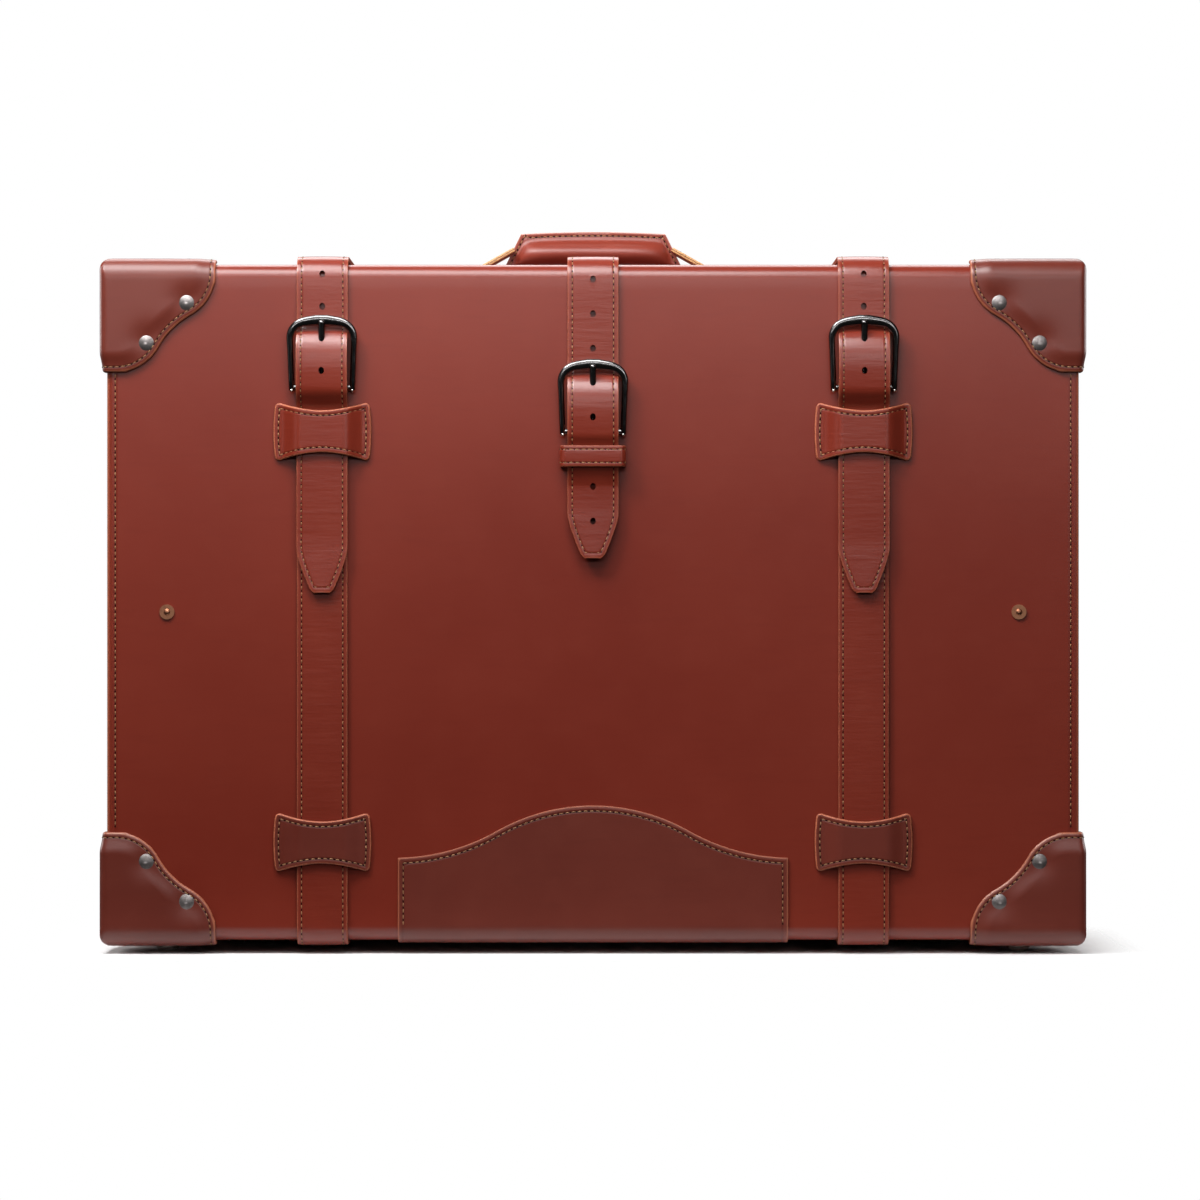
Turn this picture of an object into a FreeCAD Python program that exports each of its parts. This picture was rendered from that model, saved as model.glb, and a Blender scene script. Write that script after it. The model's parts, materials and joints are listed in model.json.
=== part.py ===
import FreeCAD, Part
import math
import os
import types

from FreeCAD import Matrix, Rotation, Vector

# A leather suitcase that stands on its long edge. X is its width, Y its depth with the front at -Y,
# Z is up, and the origin is on the floor in the middle. Sizes are in millimetres.
SIZES = {
    # Case and its two halves
    "case_width": 650,
    "case_height": 453,
    "lid_depth": 75,
    "base_depth": 125,
    "edge_radius": 10,
    "parting_gap": 0.6,
    "leather": 2.5,
    "wall_board": 8,
    "face_board": 4,
    "lining": 1,
    # Inner lip of the base
    "lip_seat": 14,
    "lip_rise": 6,
    "lip_thickness": 3,
    "lip_clearance": 0.5,
    # Feet
    "foot_height": 9,
    "foot_radius": 8,
    "foot_flat": 4.5,
    "foot_bulge": 1.2,
    "foot_stem": 2.5,
    "foot_stem_depth": 5,
    "foot_side_inset": 38,
    "foot_face_inset": 27,
    # Corner caps
    "cap_reach": 73,
    "cap_depth": 58,
    "cap_thickness": 3.2,
    "cap_gap": 0.3,
    "cap_lobe": 33,
    "cap_notch": 53,
    "cap_straight": 6,
    "cap_corner": 7,
    "cap_upright_corner": 4,
    # Rivets of the caps
    "rivet_radius": 5.5,
    "rivet_rise": 1.6,
    "rivet_shank": 2,
    "rivet_clearance": 0.2,
    "rivet_far": 53,
    "rivet_near": 26,
    "rivet_far_depth": 21,
    "rivet_near_depth": 39,
    # Straps
    "strap_width": 34,
    "strap_thickness": 3,
    "strap_gap": 0.3,
    "strap_lift": 2.5,
    "strap_turn": 12,
    "strap_bend": 7.8,
    "side_strap_offset": 181,
    "hole_radius": 2,
    "side_hole_pitch": 21.7,
    "side_holes_below": 1,
    "centre_hole_pitch": 23.1,
    "centre_holes_below": 4,
    "tip_length": 24,
    "tip_width": 13.5,
    "tip_bow": 1,
    "tip_margin": 1,
    "tip_lift": 1.5,
    "side_tip_drop": 220,
    "centre_tip_drop": 197,
    "centre_strap_inset": 22,
    # Buckles: a bar, a frame that swings on it, and a tongue
    "side_bar_drop": 83,
    "centre_bar_drop": 112.5,
    "bar_radius": 1.75,
    "bar_clearance": 0.1,
    "frame_reach": 44.7,
    "frame_lean": 3.05,
    "frame_top_width": 46.5,
    "frame_foot_width": 44,
    "frame_top_bar": 5.6,
    "frame_side": 3.3,
    "frame_depth": 4.4,
    "frame_arch": 3.5,
    "frame_corner": 9,
    "frame_foot": 2.6,
    "frame_edge": 0.9,
    "strap_tuck_fall": 8.7,
    "tongue_radius": 1.8,
    "tongue_eye": 3.5,
    "tongue_eye_width": 5,
    "tongue_overhang": 2,
    "tongue_clearance": 0.4,
    "tongue_slot": 6.4,
    "chape_step": 10.5,
    "chape_step_start": 1.5,
    "chape_turn_back": 4,
    "chape_length": 40,
    "chape_bend": 4.2,
    # Bow-tie keepers and the centre strap's loop
    "keeper_width": 62.5,
    "keeper_height": 40.5,
    "keeper_waist": 28,
    "keeper_bulge": 1.5,
    "keeper_thickness": 2.5,
    "keeper_play": 0.5,
    "keeper_shoulder": 2,
    "keeper_bend": 2.5,
    "upper_keeper_drop": 112.5,
    "lower_keeper_rise": 66,
    "loop_width": 44,
    "loop_height": 14,
    "loop_thickness": 2.2,
    "loop_bend": 3,
    "loop_drop": 129,
    "loop_sink": 2.4,
    # Arched patch at the foot of the lid
    "patch_width": 261,
    "patch_shoulder": 55.5,
    "patch_peak": 90.5,
    "patch_crown": 130,
    "patch_sweep": 140,
    "patch_thickness": 1.6,
    # Document strap inside the lid and its copper rivets
    "copper_radius": 5,
    "copper_plate": 1.2,
    "copper_dome": 2.2,
    "copper_shank": 1.8,
    "copper_inset": 40,
    "copper_drop": 233,
    "document_strap_width": 25,
    "document_strap_thickness": 2.2,
    "document_strap_end": 14,
    "document_strap_corner": 11,
    # Handle
    "handle_setback": 45,
    "handle_rise": 31,
    "handle_clear": 11,
    "grip_top_length": 100,
    "grip_foot_length": 122,
    "grip_depth": 24,
    "grip_belly": 17,
    "grip_welt": 5,
    "grip_core": 10,
    "grip_core_length": 70,
    "tail_width": 22,
    "tail_thickness": 3,
    "tail_gap": 0.3,
    "tail_exit": 4.5,
    "tail_bend": 15,
    "tail_end": 108,
    "handle_loop_offset": 92,
    "handle_loop_width": 8,
    "handle_loop_thickness": 1.6,
    "handle_loop_flange": 12,
    "handle_loop_bend": 1,
    # Hinges
    "hinge_length": 40,
    "hinge_offset": 229,
    "knuckle_radius": 2.8,
    "pin_radius": 1.4,
    "pin_clearance": 0.1,
    "leaf_width": 18,
    "leaf_thickness": 1.2,
    "knuckle_gap": 0.3,
}

doc = FreeCAD.newDocument("suitcase")
sheet = doc.addObject("Spreadsheet::Sheet", "sizes")
for row, (alias, value) in enumerate(SIZES.items(), start=1):
    sheet.set(f"A{row}", alias.replace("_", " "))
    sheet.set(f"B{row}", str(value))
    sheet.setAlias(f"B{row}", alias)
doc.recompute()
size = types.SimpleNamespace(**{alias: float(sheet.get(alias)) for alias in SIZES})

# Places that several pieces share, as expressions on the sheet
BAR_OFFSET = "(sizes.strap_gap + sizes.strap_thickness + sizes.bar_radius + sizes.bar_clearance)"
FRONT_REACH = (f"({BAR_OFFSET} + sizes.frame_lean + sizes.frame_depth / 2"
               " + sizes.tongue_clearance + 2 * sizes.tongue_radius)")
BACK_REACH = "(sizes.strap_gap + sizes.strap_thickness + sizes.keeper_play + sizes.keeper_thickness)"
BOTTOM = "sizes.foot_height"
TOP = "(sizes.foot_height + sizes.case_height)"
FRONT = f"(({FRONT_REACH} - {BACK_REACH} - sizes.lid_depth - sizes.base_depth) / 2)"
BACK = f"({FRONT} + sizes.lid_depth + sizes.base_depth)"
PARTING = f"({FRONT} + sizes.lid_depth)"
HALF_WIDTH = "(sizes.case_width / 2)"
INNER_HALF_WIDTH = f"({HALF_WIDTH} - sizes.leather - sizes.wall_board)"
INNER_BOTTOM = f"({BOTTOM} + sizes.leather + sizes.wall_board)"
INNER_TOP = f"({TOP} - sizes.leather - sizes.wall_board)"
HINGE_AXIS = f"({BOTTOM} - sizes.strap_gap - sizes.strap_thickness - sizes.knuckle_gap)"
# What closes each half on its outer face, and which way its depth runs
FACES = {"lid": (FRONT, "+"), "base": (BACK, "-")}

TINY = 1e-6
# How far a quarter circle stands off its chord, for a chord of 1
QUARTER_BOW = (math.sqrt(2) - 1) / 2
# How much of the arch's rise is above the shoulders of a buckle frame
BROW = 0.75
# How far a keeper's flank runs out for each millimetre that it drops
KEEPER_SLOPE = 0.7
# Places along half the grip's belly, and its girth there
GRIP_SECTIONS = ((-1, 0.3), (-0.75, 0.86), (0, 1), (0.75, 0.86), (1, 0.3))
ALONG_X = Rotation(Vector(1, 1, 1), 120)
FACING_FRONT = Rotation(Vector(1, 0, 0), 90)
LEVEL = Rotation()
nodes = {}


def at(expression):
    return float(sheet.evalExpression(expression))


bottom, top, front, back, parting = (at(place) for place in (BOTTOM, TOP, FRONT, BACK, PARTING))
half_width = at(HALF_WIDTH)
middle_height = (bottom + top) / 2
middle_depth = (front + back) / 2
bar_offset = at(BAR_OFFSET)
strap_middle = size.strap_gap + size.strap_thickness / 2
# A strap that lies over another strap, and the same strap where it goes over a buckle bar
upper_strap_middle = strap_middle + size.strap_gap + size.strap_thickness
loop_turn = size.bar_radius + size.bar_clearance + size.strap_thickness / 2
bulge_middle = bar_offset + loop_turn + size.strap_thickness + size.strap_gap
hinge_axis = at(HINGE_AXIS)


def keep(name, item):
    item.Label = name
    nodes[name] = item
    return item


def keep_shape(name, shape):
    feature = doc.addObject("Part::Feature", name)
    feature.Shape = shape
    return keep(name, feature)


def keep_group(name, items):
    group = doc.addObject("Part::Compound", name)
    group.Links = items
    return keep(name, group)


def block(name, *spans):
    """A box between pairs of expressions along X, Y and Z."""
    box = doc.addObject("Part::Box", name)
    for axis, side, (low, high) in zip("xyz", ("Length", "Width", "Height"), spans):
        box.setExpression(side, f"({high}) - ({low})")
        box.setExpression(f"Placement.Base.{axis}", low)
    return box


def difference(name, base, tool):
    cut = doc.addObject("Part::Cut", name)
    cut.Base = base
    cut.Tool = tool
    return cut


def flat(across, up):
    return Vector(across, up, 0)


def left_of(direction):
    return Vector(-direction.y, direction.x, 0)


def line(start, end):
    return Part.LineSegment(start, end).toShape()


def arc(start, through, end):
    return Part.Arc(start, through, end).toShape()


def bowed(start, end, bow):
    """An arc that stands off its chord by bow, to the left of its direction."""
    run = end - start
    return arc(start, start + run / 2 + left_of(run) * (bow / run.Length), end)


def face_of(edges):
    return Part.Face(Part.Wire(Part.__sortEdges__(edges)))


def prism(face, rotation, low, high):
    """A flat face, drawn in a local plane and run from low to high along that plane's normal."""
    solid = face.translated(Vector(0, 0, low)).extrude(Vector(0, 0, high - low))
    solid.Placement = FreeCAD.Placement(Vector(), rotation)
    return solid


def front_prism(face, near, far):
    """A face drawn in X and Z, run in Y from near to far."""
    return prism(face, FACING_FRONT, -far, -near)


def box_between(low, high):
    spread = Vector(*high) - Vector(*low)
    return Part.makeBox(spread.x, spread.y, spread.z, Vector(*low))


def rod(start, end, radius):
    run = end - start
    return Part.makeCylinder(radius, run.Length, start, run)


def mirrored(shape, across, height, depth):
    """A copy turned over about the case's middle planes, wherever a sign is negative."""
    middle = Vector(0, middle_depth, middle_height)
    for sign, axis in ((across, Vector(1, 0, 0)), (depth, Vector(0, 1, 0)), (height, Vector(0, 0, 1))):
        if sign < 0:
            shape = shape.mirror(middle, axis)
    return shape


def bent_runs(points, radii):
    """Straight runs and tangent arcs through points, as stations of a place and its left normal."""
    runs = []
    here = points[0]
    for before, corner, after, radius in zip(points, points[1:], points[2:], radii):
        arriving = (corner - before).normalize()
        leaving = (after - corner).normalize()
        turn = math.atan2(arriving.cross(leaving).z, arriving.dot(leaving))
        reach = radius * math.tan(abs(turn) / 2)
        start = corner - arriving * reach
        end = corner + leaving * reach
        side = math.copysign(1, turn)
        centre = start + left_of(arriving) * radius * side
        outward = (corner - centre).normalize()
        if (start - here).Length > TINY:
            runs.append([(here, left_of(arriving)), (start, left_of(arriving))])
        runs.append([(start, left_of(arriving)), (centre + outward * radius, outward * -side),
                     (end, left_of(leaving))])
        here = end
    last = (points[-1] - points[-2]).normalize()
    runs.append([(here, left_of(last)), (points[-1], left_of(last))])
    return runs


def strip(points, radii, thickness, width, rotation):
    """A strip of sheet bent along points, its width centred on the local plane."""
    runs = bent_runs([flat(*point) for point in points], radii)
    edges = []
    ends = []
    for offset in (thickness / 2, -thickness / 2):
        stations = [[place + normal * offset for place, normal in run] for run in runs]
        edges += [line(*run) if len(run) == 2 else arc(*run) for run in stations]
        ends.append((stations[0][0], stations[-1][-1]))
    edges += [line(*pair) for pair in zip(*ends)]
    return prism(face_of(edges), rotation, -width / 2, width / 2)


def rounded_panel(low, high, radius):
    """A rectangle with rounded corners, as a face in the local plane."""
    (left, foot), (right, head) = low, high
    edges = []
    turns = ((right, foot, -90), (right, head, 0), (left, head, 90), (left, foot, 180))
    for across, up, start in turns:
        centre = flat(across - math.copysign(radius, across - left - TINY),
                      up - math.copysign(radius, up - foot - TINY))
        spokes = [math.radians(start + step) for step in (0, 45, 90)]
        edges.append(arc(*(centre + flat(math.cos(spoke), math.sin(spoke)) * radius for spoke in spokes)))
    starts = [edge.firstVertex().Point for edge in edges]
    finishes = [edge.lastVertex().Point for edge in edges]
    edges += [line(finish, start) for finish, start in zip(finishes, starts[1:] + starts[:1])]
    return face_of(edges)


# Boards, lining and lip

def make_boards(half):
    face, inward = FACES[half]
    rim = f"({PARTING} {'-' if half == 'lid' else '+'} sizes.parting_gap / 2)"

    def depth_span(start, end):
        span = (f"({face} {inward} ({start}))", end)
        return span if half == "lid" else span[::-1]

    wall = depth_span("sizes.leather", rim)
    outer_width = (f"-({HALF_WIDTH} - sizes.leather)", f"{HALF_WIDTH} - sizes.leather")
    inner_width = (f"-{INNER_HALF_WIDTH}", INNER_HALF_WIDTH)
    inner_height = (INNER_BOTTOM, INNER_TOP)
    outer_side = front + size.leather if half == "lid" else back - size.leather
    for name, span in (("top", (INNER_TOP, f"{TOP} - sizes.leather")),
                       ("bottom", (f"{BOTTOM} + sizes.leather", INNER_BOTTOM))):
        blank = block(f"{half}_{name}_blank", outer_width, wall, span)
        doc.recompute()
        outer_height = at(span[1]) if name == "top" else at(span[0])
        board = doc.addObject("Part::Fillet", f"{half}_{name}_rounded")
        board.Base = blank
        radius = size.edge_radius - size.leather
        board.Edges = [(index, radius, radius) for index, edge in enumerate(blank.Shape.Edges, start=1)
                       if abs(edge.CenterOfMass.y - outer_side) < TINY
                       and abs(edge.CenterOfMass.z - outer_height) < TINY]
        if name == "bottom":
            sockets = doc.addObject("Part::Feature", f"{half}_foot_sockets")
            depth = 1 if half == "lid" else -1
            sockets.Shape = Part.makeCompound([foot_bore(across, depth) for across in (1, -1)])
            board = difference(f"{half}_bottom_bored", board, sockets)
        keep(f"{half}_{name}_board", board)
    ends = []
    for side, sign in (("left", "-"), ("right", "")):
        span = (f"{sign}{INNER_HALF_WIDTH}", f"{sign}({HALF_WIDTH} - sizes.leather)")
        span = span[::-1] if sign else span
        ends.append(block(f"{half}_{side}_end_board", span, wall, inner_height))
    keep_group(f"{half}_end_boards", ends)
    panel = depth_span("sizes.leather", f"({face} {inward} (sizes.leather + sizes.face_board))")
    name = "lid_front_board" if half == "lid" else "base_back_board"
    face_board = block(f"{name}_blank", inner_width, panel, inner_height)
    lining_span = depth_span("sizes.leather + sizes.face_board", rim)
    outside = block(f"{half}_lining_outside", inner_width, lining_span, inner_height)
    room = depth_span("sizes.leather + sizes.face_board + sizes.lining", rim)
    within = block(f"{half}_lining_inside",
                   (f"-({INNER_HALF_WIDTH} - sizes.lining)", f"{INNER_HALF_WIDTH} - sizes.lining"), room,
                   (f"{INNER_BOTTOM} + sizes.lining", f"{INNER_TOP} - sizes.lining"))
    lining = difference(f"{half}_lining_blank", outside, within)
    return name, face_board, lining


def make_lip():
    inset = "(sizes.lining + sizes.lip_clearance)"
    reach = (f"{PARTING} - sizes.lip_rise", f"{PARTING} + sizes.lip_seat")
    width = f"({INNER_HALF_WIDTH} - {inset})"
    low = f"({INNER_BOTTOM} + {inset})"
    high = f"({INNER_TOP} - {inset})"
    upright = (f"{low} + sizes.lip_thickness", f"{high} - sizes.lip_thickness")
    across = (f"-{width}", width)
    keep_group("base_lip", [
        block("lip_bottom", across, reach, (low, f"{low} + sizes.lip_thickness")),
        block("lip_top", across, reach, (f"{high} - sizes.lip_thickness", high)),
        block("lip_left", (f"-{width}", f"-{width} + sizes.lip_thickness"), reach, upright),
        block("lip_right", (f"{width} - sizes.lip_thickness", width), reach, upright),
    ])


# Corner caps: a moulded shell over each corner, cut to a lobed outline on three faces

def petal(reach, fall):
    """A cap's outline on one face: two round lobes joined by a hollow, from the corner outwards."""
    margin = size.cap_thickness * 3
    lobe, notch, start = size.cap_lobe, size.cap_notch, size.cap_straight
    first = flat(reach - lobe, start)
    second = flat(start, fall - lobe)
    chord = second - first
    rise = math.sqrt((lobe + notch) ** 2 - (chord.Length / 2) ** 2)
    hollow = first + chord / 2 - left_of(chord.normalize()) * rise

    def on_circle(centre, towards, radius):
        return centre + (towards - centre).normalize() * radius

    meets = [on_circle(centre, hollow, lobe) for centre in (first, second)]
    tips = [flat(reach, start), flat(start, fall)]
    bends = [on_circle(centre, (tip + meet) / 2, lobe)
             for centre, tip, meet in zip((first, second), tips, meets)]
    corners = [flat(-margin, fall), flat(-margin, -margin), flat(reach, -margin)]
    return face_of([
        line(corners[2], tips[0]),
        arc(tips[0], bends[0], meets[0]),
        arc(meets[0], on_circle(hollow, (meets[0] + meets[1]) / 2, notch), meets[1]),
        arc(meets[1], bends[1], tips[1]),
        line(tips[1], corners[0]),
        line(corners[0], corners[1]),
        line(corners[1], corners[2]),
    ])


def case_shape(offset, corner, upright_corner):
    """The closed case's outer shape, grown by offset, with rounded corners where they are given."""
    x_low, x_high = -half_width - offset, half_width + offset
    y_low, y_high = front - offset, back + offset
    z_low, z_high = bottom - offset, top + offset
    shape = prism(rounded_panel((y_low, z_low), (y_high, z_high), size.edge_radius + offset),
                  ALONG_X, x_low, x_high)
    if corner:
        shape = shape.common(front_prism(rounded_panel((x_low, z_low), (x_high, z_high), corner),
                                         y_low, y_high))
        shape = shape.common(prism(rounded_panel((x_low, y_low), (x_high, y_high), upright_corner),
                                   LEVEL, z_low, z_high))
    return shape


def corner_place(across, height, depth, inset):
    """A place given by its insets from the side, the top or bottom, and the front or back."""
    face = front if depth > 0 else back
    edge = top if height > 0 else bottom
    return Vector(-across * (half_width - inset.x), face + depth * inset.y, edge - height * inset.z)


def cap_blank():
    """The cap of the lid's top left corner, before its holes."""
    shell = case_shape(size.cap_gap + size.cap_thickness, size.cap_corner, size.cap_upright_corner)
    shell = shell.cut(case_shape(size.cap_gap, 0, 0))
    wrap = size.edge_radius + size.cap_gap + size.cap_thickness
    margin = size.cap_thickness * 3
    on_front = petal(size.cap_reach, size.cap_reach)
    on_side = petal(size.cap_reach, size.cap_depth)
    on_top = petal(size.cap_depth, size.cap_reach)
    # Each outline's own two axes run from the corner, and the third points into the case
    spaces = (
        (on_front, Vector(1, 0, 0), Vector(0, 0, -1), Vector(0, 1, 0)),
        (on_side, Vector(0, 0, -1), Vector(0, 1, 0), Vector(1, 0, 0)),
        (on_top, Vector(0, 1, 0), Vector(1, 0, 0), Vector(0, 0, -1)),
    )
    corner = Vector(-half_width, front, top)
    pieces = []
    for outline, across, down, inward in spaces:
        frame = Matrix(across.x, down.x, inward.x, corner.x,
                       across.y, down.y, inward.y, corner.y,
                       across.z, down.z, inward.z, corner.z)
        solid = outline.translated(Vector(0, 0, -margin)).extrude(Vector(0, 0, margin + wrap))
        solid.Placement = FreeCAD.Placement(frame)
        pieces.append(solid)
    region = pieces[0].fuse(pieces[1:])
    return shell.common(region).removeSplitter()


def rivet_seats():
    """Insets and outward directions of one cap's rivets."""
    far, near = size.rivet_far, size.rivet_near
    far_depth, near_depth = size.rivet_far_depth, size.rivet_near_depth
    return [
        (Vector(far, 0, near), Vector(0, -1, 0)),
        (Vector(near, 0, far), Vector(0, -1, 0)),
        (Vector(far, far_depth, 0), Vector(0, 0, 1)),
        (Vector(near, near_depth, 0), Vector(0, 0, 1)),
        (Vector(0, far_depth, far), Vector(-1, 0, 0)),
        (Vector(0, near_depth, near), Vector(-1, 0, 0)),
    ]


def domed_rivet(radius, rise, shank, length):
    """A rivet along Z with its head's seat at the origin."""
    ball = (radius ** 2 + rise ** 2) / (2 * rise)
    dome = Part.makeSphere(ball, Vector(0, 0, rise - ball))
    dome = dome.common(Part.makeCylinder(radius * 2, rise * 2))
    return dome.fuse(Part.makeCylinder(shank, length, Vector(0, 0, -length))).removeSplitter()


def stand(shape, place, direction):
    copy = shape.copy()
    copy.Placement = FreeCAD.Placement(place, Rotation(Vector(0, 0, 1), direction))
    return copy


def make_caps():
    blank = cap_blank()
    proud = size.cap_gap + size.cap_thickness
    length = proud + size.leather
    rivet = domed_rivet(size.rivet_radius, size.rivet_rise, size.rivet_shank, length)
    bore = Part.makeCylinder(size.rivet_shank + size.rivet_clearance, length + 1, Vector(0, 0, -length))
    bores = {"lid": [], "base": []}
    rivets = {"lid": [], "base": []}
    for half, depth in (("lid", 1), ("base", -1)):
        for level, height in (("top", 1), ("bottom", -1)):
            for side, across in (("left", 1), ("right", -1)):
                seats = []
                for inset, outward in rivet_seats():
                    turned = Vector(outward.x * across, outward.y * depth, outward.z * height)
                    seats.append((corner_place(across, height, depth, inset) + turned * proud, turned))
                rivets[half] += [stand(rivet, *seat) for seat in seats]
                cuts = [stand(bore, *seat) for seat in seats]
                if level == "bottom":
                    cuts.append(foot_bore(across, depth))
                bores[half] += cuts
                cap = mirrored(blank, across, height, depth).cut(cuts)
                keep_shape(f"{half}_cap_{level}_{side}", cap)
    for half, shapes in rivets.items():
        keep_shape(f"{half}_cap_rivets", Part.makeCompound(shapes))
    return bores


# Feet

def foot_place(across, depth):
    return corner_place(across, -1, depth, Vector(size.foot_side_inset, size.foot_face_inset, 0))


def foot_stem_top():
    return bottom + size.leather + size.foot_stem_depth


def foot_bore(across, depth):
    """The hole that a foot's stem sits in, up through the leather and into the board."""
    place = foot_place(across, depth)
    reach = foot_stem_top() + size.rivet_clearance
    return Part.makeCylinder(size.foot_stem + size.rivet_clearance, reach, Vector(place.x, place.y, 0))


def make_feet(half, depth):
    seat = bottom - size.cap_gap - size.cap_thickness
    stem_top = foot_stem_top()
    shoulder = flat(size.foot_radius, seat)
    profile = face_of([
        line(flat(0, 0), flat(size.foot_flat, 0)),
        bowed(flat(size.foot_flat, 0), shoulder, -size.foot_bulge),
        line(shoulder, flat(size.foot_stem, seat)),
        line(flat(size.foot_stem, seat), flat(size.foot_stem, stem_top)),
        line(flat(size.foot_stem, stem_top), flat(0, stem_top)),
        line(flat(0, stem_top), flat(0, 0)),
    ])
    profile.Placement = FreeCAD.Placement(Vector(), FACING_FRONT)
    foot = profile.revolve(Vector(), Vector(0, 0, 1), 360)
    places = [foot_place(across, depth) for across in (1, -1)]
    feet = [foot.translated(Vector(place.x, place.y, 0)) for place in places]
    keep_shape(f"{half}_feet", Part.makeCompound(feet))


# Leather covers and end panels

def make_cover(half, bores):
    face, inward = FACES[half]
    sign = 1 if inward == "+" else -1
    rim = parting - sign * size.parting_gap / 2
    skin = size.leather / 2
    outer = at(face) + sign * skin
    turn = size.edge_radius - skin
    cover = strip([(rim, top - skin), (outer, top - skin), (outer, bottom + skin), (rim, bottom + skin)],
                  [turn, turn], size.leather, size.case_width, ALONG_X)
    keep_shape(f"{half}_cover", cover.cut(bores))
    whole = rounded_panel((front + size.leather, bottom + size.leather),
                          (back - size.leather, top - size.leather), size.edge_radius - size.leather)
    reach = (front, rim) if sign > 0 else (rim, back)
    panels = []
    for side in (1, -1):
        outside = side * half_width
        inside = side * (half_width - size.leather)
        panel = prism(whole, ALONG_X, min(outside, inside), max(outside, inside))
        slab = box_between((-half_width, reach[0], bottom), (half_width, reach[1], top))
        panels.append(panel.common(slab).cut(bores))
    keep_shape(f"{half}_end_panels", Part.makeCompound(panels))


def make_patch():
    """An arched leather patch that follows the front and turns under the bottom edge."""
    grown = size.cap_gap + size.patch_thickness
    shell = case_shape(grown, 0, 0).cut(case_shape(size.cap_gap, 0, 0))
    half = size.patch_width / 2
    peak = bottom + size.patch_peak
    shoulder = bottom + size.patch_shoulder
    crown, sweep = size.patch_crown, size.patch_sweep
    crown_centre = flat(0, peak - crown)
    hollow_height = shoulder + sweep
    hollow_across = math.sqrt((crown + sweep) ** 2 - (hollow_height - crown_centre.y) ** 2)
    edges = []
    meets = {}
    tips = {}
    for side in (1, -1):
        hollow = flat(side * hollow_across, hollow_height)
        meets[side] = crown_centre + (hollow - crown_centre).normalize() * crown
        reach = side * half - hollow.x
        tips[side] = flat(side * half, hollow.y - math.sqrt(sweep ** 2 - reach ** 2))
        bend = hollow + ((meets[side] + tips[side]) / 2 - hollow).normalize() * sweep
        edges.append(arc(meets[side], bend, tips[side]))
        edges.append(line(tips[side], flat(side * half, 0)))
    edges.append(arc(meets[1], flat(0, peak), meets[-1]))
    edges.append(line(flat(half, 0), flat(-half, 0)))
    reach = front + size.edge_radius
    keep_shape("lid_patch", shell.common(front_prism(face_of(edges), front - grown * 2, reach)))


# Document strap inside the lid, held by two copper rivets

def copper_places():
    return [Vector(side * (half_width - size.copper_inset), front, top - size.copper_drop)
            for side in (1, -1)]


def copper_bores():
    depth = size.leather + size.face_board + size.lining + size.document_strap_thickness
    return [rod(place - Vector(0, 1, 0), place + Vector(0, depth, 0), size.copper_shank)
            for place in copper_places()]


def make_document_strap():
    inside = front + size.leather + size.face_board + size.lining
    far = inside + size.document_strap_thickness
    height = top - size.copper_drop
    reach = half_width - size.copper_inset + size.document_strap_end
    half = size.document_strap_width / 2
    panel = rounded_panel((-reach, height - half), (reach, height + half), size.document_strap_corner)
    keep_shape("document_strap", front_prism(panel, inside, far).cut(copper_bores()))
    rivets = []
    for place in copper_places():
        outward = Vector(0, -1, 0)
        burr = rod(place, place + outward * size.copper_plate, size.copper_radius)
        dome = domed_rivet(size.copper_dome, size.copper_plate, size.copper_dome, size.copper_plate)
        dome = stand(dome, place + outward * size.copper_plate, outward)
        shank = rod(place, Vector(place.x, far, place.z), size.copper_shank)
        head = rod(Vector(place.x, far, place.z), Vector(place.x, far + size.copper_plate, place.z),
                   size.copper_radius)
        rivets.append(burr.fuse([dome, shank, head]).removeSplitter())
    keep_shape("copper_rivets", Part.makeCompound(rivets))


# Straps

def strap_crown():
    """Where a strap leaves the top run and turns down over the front edge."""
    return front - strap_middle + size.strap_turn, top + size.strap_lift + size.strap_thickness / 2


def make_side_strap_back(side, sign):
    under = bottom - strap_middle
    behind = back + strap_middle
    crown_depth, crown_height = strap_crown()
    strap = strip([(parting + size.parting_gap, under), (behind, under), (behind, crown_height),
                   (crown_depth, crown_height)],
                  [size.edge_radius + strap_middle, size.strap_turn],
                  size.strap_thickness, size.strap_width, ALONG_X)
    keep_shape(f"{side}_strap_back", strap.translated(Vector(sign * size.side_strap_offset, 0, 0)))


def chape_points(bar):
    """The stretch that carries a buckle bar: up, out over the bar and turned down behind it."""
    step_foot = bar - size.chape_step_start - size.chape_step
    over = bar_offset + loop_turn
    crest = bar + loop_turn
    return [(front - strap_middle, step_foot), (front - over, bar - size.chape_step_start),
            (front - over, crest), (front - strap_middle, crest),
            (front - strap_middle, bar - size.chape_turn_back)]


def chape_radii():
    return [size.chape_bend, size.chape_bend, loop_turn, loop_turn]


def tongue_slot(bar):
    reach = size.tongue_eye + size.strap_thickness
    return box_between((-size.tongue_slot / 2, front - bulge_middle, bar - reach),
                       (size.tongue_slot / 2, front, bar + reach))


def make_side_strap_front(side, sign):
    bar = top - size.side_bar_drop
    under = bottom - strap_middle
    points = [(parting - size.parting_gap, under), (front - strap_middle, under)] + chape_points(bar)
    strap = strip(points, [size.edge_radius + strap_middle] + chape_radii(),
                  size.strap_thickness, size.strap_width, ALONG_X)
    strap = strap.cut(tongue_slot(bar))
    keep_shape(f"{side}_strap_front", strap.translated(Vector(sign * size.side_strap_offset, 0, 0)))


def make_centre_chape():
    bar = top - size.centre_bar_drop
    points = [(front - strap_middle, bar - size.chape_length)] + chape_points(bar)
    chape = strip(points, chape_radii(), size.strap_thickness, size.strap_width, ALONG_X)
    keep_shape("centre_chape", chape.cut(tongue_slot(bar)))


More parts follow.
